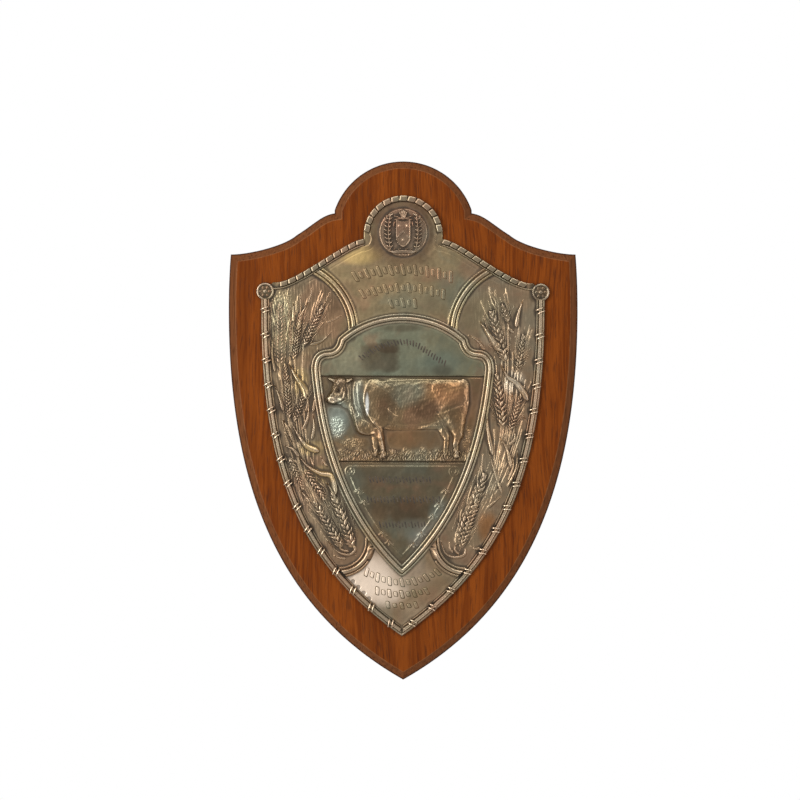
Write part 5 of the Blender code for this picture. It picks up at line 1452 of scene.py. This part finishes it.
def mitred(loop, by):
    """A clockwise loop moved inwards, where points that would cross at a sharp corner gather at its mitre."""
    ring, n = inset(loop, by), len(loop)
    before, after = loop - np.roll(loop, 1, 0), np.roll(loop, -1, 0) - loop
    across = before[:, 0] * after[:, 1] - before[:, 1] * after[:, 0]
    bend = across / (np.hypot(*before.T) * np.hypot(*after.T))
    for k in np.where(bend < -0.5)[0]:
        for way in (-1, 1):
            out = loop[(k + way) % n] - loop[k]
            out = out / np.hypot(*out)
            for j in range(1, 8):
                i = (k + way * j) % n
                if (ring[i] - ring[k]) @ out < 0.04 * j:
                    ring[i] = ring[k] + out * 0.04 * j
    return ring


def board_rings():
    """Rings from back to front: inset, distance from the back, share of bevel, and an arris mark: above 0
    paler (wear and a painted highlight), below 0 darker.
    """
    top, low = BOARD_T, BOARD_T - BEVEL_D
    return [(BACK_ROUND, 0.0, 0, 0), (0.3, 0.3, 0, 0.2), (0.0, BACK_ROUND, 0, 0.1), (0.0, 5.0, 0, 0),
            (0.0, low - 3.0, 0, 0), (0.0, low - EDGE_ROUND, 0.5, -0.6), (0.16, low - 0.35, 1, -1.0),
            (0.5, low, 1, -0.9), (1.3, low + 0.70, 1, -0.35), (2.2, low + 1.5, 1, 0.0),
            (3.8, low + 2.9, 1, 0.0), (5.4, low + 4.30, 1, 0.0), (BEVEL_W - 0.4, top - 0.45, 1, 0.55),
            (BEVEL_W, top - 0.14, 0.6, 1.0),
            (BEVEL_W + 0.5, top - 0.03, 0, 0.5), (BEVEL_W + 1.3, top - 0.01, 0, 0.0)]


def board_sheet(verts, first, n, step, front):
    """Points inside a ring of the board and the faces that close it, the front a little uneven."""
    ring = np.array([(v[0], v[2]) for v in verts[first:first + n]])
    lo, hi = ring.min(0), ring.max(0)
    p = plan(*np.meshgrid(np.arange(lo[0], hi[0], step), np.arange(lo[1], hi[1], step)))
    p = thin_out(p[inside(ring, p)], [shut(ring)], step)
    every = [Vector(q) for q in np.vstack([ring, p])]
    at, _, tri, *_ = delaunay_2d_cdt(every, [(k, (k + 1) % n) for k in range(n)], [], 1, 1e-6)
    index = [first + k if k < n else len(verts) - n + k for k in range(len(at))]
    dip = 0.06 * (1 + ripple(p, 26, 72)) + 0.03 * (1 + ripple(p, 7, 73)) if front else np.zeros(len(p))
    faces = []
    for t in tri:
        q = [at[i] for i in t]
        anticlockwise = (q[1] - q[0]).cross(q[2] - q[0]) > 0
        t = [index[i] for i in t]
        faces.append(tuple(t if anticlockwise == front else t[::-1]))
    return [(q[0], verts[first][1] + d, q[1]) for q, d in zip(p, dip)], faces


def build_board():
    """The mahogany board with rounded back edge, slightly worn bevel and a hand-finished face."""
    loop = spaced_loop(mirror(board_half(3)), 2.0)
    n, rings = len(loop), board_rings()
    verts, faces, marks = [], [], []
    for cut, y, bevel, arris in rings:
        ring = mitred(loop, cut)
        wave = 0.10 * ripple(ring, 45, 71) * (3 < y < BOARD_T - 0.1)
        verts += [(x, -(y + w), z) for (x, z), w in zip(ring, np.minimum(wave, 0))]
        marks += [(bevel, arris)] * n
    for a in range(0, (len(rings) - 1) * n, n):
        for j in range(n):
            i = (j + 1) % n
            faces.append((a + j, a + n + j, a + n + i, a + i))
    for first, step, front in ((0, 12.0, False), ((len(rings) - 1) * n, 3.5, True)):
        more, closing = board_sheet(verts, first, n, step, front)
        verts += more
        marks += [(0.0, 0.0)] * len(more)
        faces += closing
    ob = new_object("mahogany_board", np.array(verts) * MM, faces, BOARD_WOOD)
    bm = bmesh.new()
    bm.from_mesh(ob.data)
    bmesh.ops.recalc_face_normals(bm, faces=bm.faces)
    bm.to_mesh(ob.data)
    bm.free()
    soften(ob, 35)
    for k, key in enumerate(("bevel", "arris")):
        add_value(ob, key, [m[k] for m in marks])
    return ob


# Wear, tarnish and painted highlights: how proud or sunk each place stands

def heights(ob):
    """Plan places (untilted) and heights over the seat of a piece's vertices."""
    co = np.empty(len(ob.data.vertices) * 3)
    ob.data.vertices.foreach_get("co", co)
    co = co.reshape(-1, 3) / MM
    return np.stack(tilted(co[:, 0], co[:, 2], -1), axis=1), -co[:, 1] - SEAT


def mark_proud_and_sunk(pieces):
    """Gives each vertex how proud or sunk it lies against what is near it and what is further round it."""
    step = 0.7
    lo = OUTLINE.min(0) - 6
    n = ((OUTLINE.max(0) + 6 - lo) / step).astype(int) + 1
    gx, gz = np.meshgrid(np.arange(n[0]) * step + lo[0], np.arange(n[1]) * step + lo[1])
    p = plan(gx, gz)
    ok = inside(OUTLINE, p)
    ground = np.full(len(p), EDGE)
    ground[ok] = relief(p[ok])
    ground = ground.reshape(gx.shape)
    each = [heights(ob) for ob in pieces]
    for q, up in each:
        i = np.clip(np.rint((q - lo) / step).astype(int), 0, np.array(ground.shape[::-1]) - 1)
        np.maximum.at(ground, (i[:, 1], i[:, 0]), up)
    around = {"proud": blur(ground, 2.2 / step), "wide": blur(ground, 8.0 / step)}
    for ob, (q, up) in zip(pieces, each):
        for key, grid in around.items():
            add_value(ob, key, np.clip(up - sample(grid, (q - lo) / step), -4, 4).astype(np.float32))


def blur(a, size):
    """A grid of heights softened over a size in cells."""
    r = int(3 * size)
    k = np.exp(-0.5 * (np.arange(-r, r + 1) / size) ** 2)
    k /= k.sum()
    for axis in (0, 1):
        a = np.apply_along_axis(lambda v: np.convolve(np.pad(v, r, "edge"), k, "valid"), axis, a)
    return a


def sample(grid, q):
    """A grid's value at places between its points."""
    i = np.clip(q.astype(int), 0, np.array(grid.shape[::-1]) - 2)
    fx, fz = np.clip(q - i, 0, 1).T
    a, b = grid[i[:, 1], i[:, 0]], grid[i[:, 1], i[:, 0] + 1]
    c, d = grid[i[:, 1] + 1, i[:, 0]], grid[i[:, 1] + 1, i[:, 0] + 1]
    return (a * (1 - fx) + b * fx) * (1 - fz) + (c * (1 - fx) + d * fx) * fz


# Assembly

RING_OUT, RING_IN = inset(INNER, -FRAME_W / 2 - 0.2), inset(INNER, FRAME_W / 2 + 0.2)
TOP_ZONE = np.vstack([UPPER_SEAMS[0], UPPER_SEAMS[1][::-1], [(-TOP_REACH, BEYOND), (TOP_REACH, BEYOND)]])
FOOT_ZONE = np.vstack([LOWER_SEAMS[0], [(FOOT_REACH, -BEYOND), (-FOOT_REACH, -BEYOND)], LOWER_SEAMS[1][::-1]])
DISC = turn((0, MEDAL_Z), MEDAL_R + 0.6, 360, 0, 200)
EASE = 1.0


def outer(p):
    """On the plate, outside the inner frame."""
    return inside(OUTLINE, p) & ~inside(RING_OUT, p)


def side_field(s):
    return lambda p: outer(p) & ~inside(TOP_ZONE, p) & ~inside(FOOT_ZONE, p) & (p[:, 0] * s > 0)


def on_disc(p):
    return inside(DISC, p)


def on_frame(p):
    return inside(RING_OUT, p) & ~inside(RING_IN, p)


def shield_part(low, high):
    """Inside the inner frame, between two heights."""
    return lambda p: inside(RING_IN, p) & (p[:, 1] > low) & (p[:, 1] < high)


def plate_pieces():
    """The plate's surfaces: name, which points are its own, lines in its mesh, box of its lattice, step."""
    rim, ring_out, ring_in = shut(OUTLINE), shut(RING_OUT), shut(RING_IN)
    over, under = (np.array([(-90.0, z), (90.0, z)]) for z in (OX_TOP, OX_LOW))
    rails = [shut(inset(INNER, s * w)) for w in RAILS for s in (-1, 1)[:1 + (w > 0)]]
    sides = [-w for w in RIBS[:0:-1]] + list(RIBS)
    upper_ribs, lower_ribs = ([shift_path(k, w) for k in paths for w in sides] for paths in (UPPERS, LOWERS))
    right_up, left_up = UPPER_SEAMS
    right_low, left_low = LOWER_SEAMS
    return (("inner_frame", on_frame, [ring_out, ring_in, *rails], None, 0.5),
            ("crown_field", shield_part(OX_TOP, BEYOND), [ring_in, over], ((-76, 36), (76, 90)), 0.6),
            ("ox_panel", shield_part(OX_LOW, OX_TOP), [ring_in, over, under], ((-78, -38), (78, 40)), 0.36),
            ("tablet", shield_part(-BEYOND, OX_LOW), [ring_in, under], ((-72, -132), (72, -35)), 0.5),
            ("left_field", side_field(-1), [rim, ring_out, left_up, left_low],
             ((-130, -140), (-30, 135)), 0.4),
            ("right_field", side_field(1), [rim, ring_out, right_up, right_low],
             ((30, -140), (130, 135)), 0.4),
            ("top_field", lambda p: outer(p) & inside(TOP_ZONE, p) & ~on_disc(p),
             [rim, ring_out, *UPPER_SEAMS, DISC, *upper_ribs], ((-93, 65), (93, 199)), 0.5),
            ("medallion", on_disc, [DISC], ((-25, 140), (25, 190)), 0.27),
            ("foot_field", lambda p: outer(p) & inside(FOOT_ZONE, p),
             [rim, ring_out, *LOWER_SEAMS, *lower_ribs], ((-73, -191), (73, -90)), 0.5))


metal = [patch(name, keep, lines, box, step * EASE, METALS[name])
         for name, keep, lines, box, step in plate_pieces()]
metal += [reeded_bands(), ribbon_ties(), billets(), rosettes(), ear_grains(), grass(), *raised_strokes(),
          cut_strokes()]
mark_proud_and_sunk(metal)
for ob in metal:
    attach(ob, "root")
    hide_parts("embossed_plate")
board = build_board()
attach(board, "root")
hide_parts("backboard")


# The picture

def softbox(name, at, aim, wide, tall, power):
    """An oblong soft light aimed at a place."""
    lamp = bpy.data.lights.new(name, "AREA")
    lamp.shape, lamp.size, lamp.size_y, lamp.energy = "RECTANGLE", wide, tall, power
    ob = add_object(name, lamp)
    ob.location = at
    ob.rotation_euler = (Vector(aim) - Vector(at)).to_track_quat("-Z", "Y").to_euler()


def white_room():
    """White to the camera, a soft grey to the metal and the wood."""
    world = bpy.data.worlds.new("white_room")
    bpy.context.scene.world = world
    world.use_nodes = True
    nodes, links = world.node_tree.nodes, world.node_tree.links
    nodes.clear()
    seen, glow = nodes.new("ShaderNodeBackground"), nodes.new("ShaderNodeBackground")
    for node, colour, strength in ((seen, (1.0, 1.0, 1.0, 1.0), 1.0), (glow, (0.95, 0.96, 1.0, 1.0), 0.42)):
        node.inputs["Color"].default_value = colour
        node.inputs["Strength"].default_value = strength
    which, mix = nodes.new("ShaderNodeLightPath"), nodes.new("ShaderNodeMixShader")
    out = nodes.new("ShaderNodeOutputWorld")
    links.new(mix.inputs[0], which.outputs["Is Camera Ray"])
    links.new(mix.inputs[1], glow.outputs[0])
    links.new(mix.inputs[2], seen.outputs[0])
    links.new(out.inputs["Surface"], mix.outputs[0])


def pale_floor():
    """A pale floor far below the plaque, seen only in its gleams."""
    f = Finish("pale_floor")
    tone = f.blend(f.noise(f.place(), 2.0).ramp(0.3, 0.7), (0.80, 0.80, 0.79), (0.84, 0.84, 0.83))
    f.set(Base_Color=tone, Roughness=0.85)
    ob = new_object("pale_floor", [(x, y, -1.3) for x, y in ((-2, -3), (2, -3), (2, 1.5), (-2, 1.5))],
                    [(0, 1, 2, 3)], f.material)


white_room()
pale_floor()
softbox("tall_window_left", (-1.15, -1.5, 0.35), (0.0, 0.0, 0.0), 0.55, 1.9, 27.0)
softbox("high_front", (0.25, -2.0, 1.7), (0.0, 0.0, 0.0), 1.6, 0.8, 17.0)
softbox("right_fill", (1.7, -1.3, 0.1), (0.0, 0.0, 0.0), 0.7, 1.6, 8.0)

# metres: the camera's distance from the front, the width it sees there, and its middle
CAMERA_AWAY, SEEN_WIDTH, FRONT, MIDDLE_X, MIDDLE_Z = 2.2, 0.7004, 0.0284, -0.0028, 0.01795
SENSOR = 36.0
camera = bpy.data.cameras.new("camera")
camera.sensor_width = SENSOR
camera.lens = SENSOR * CAMERA_AWAY / SEEN_WIDTH
camera.dof.use_dof = False
viewer = add_object("camera", camera)
viewer.location = (MIDDLE_X, -CAMERA_AWAY - FRONT, MIDDLE_Z)
viewer.rotation_euler = (math.radians(90), 0.0, 0.0)
bpy.context.scene.camera = viewer
bpy.context.scene.view_settings.view_transform = "Standard"
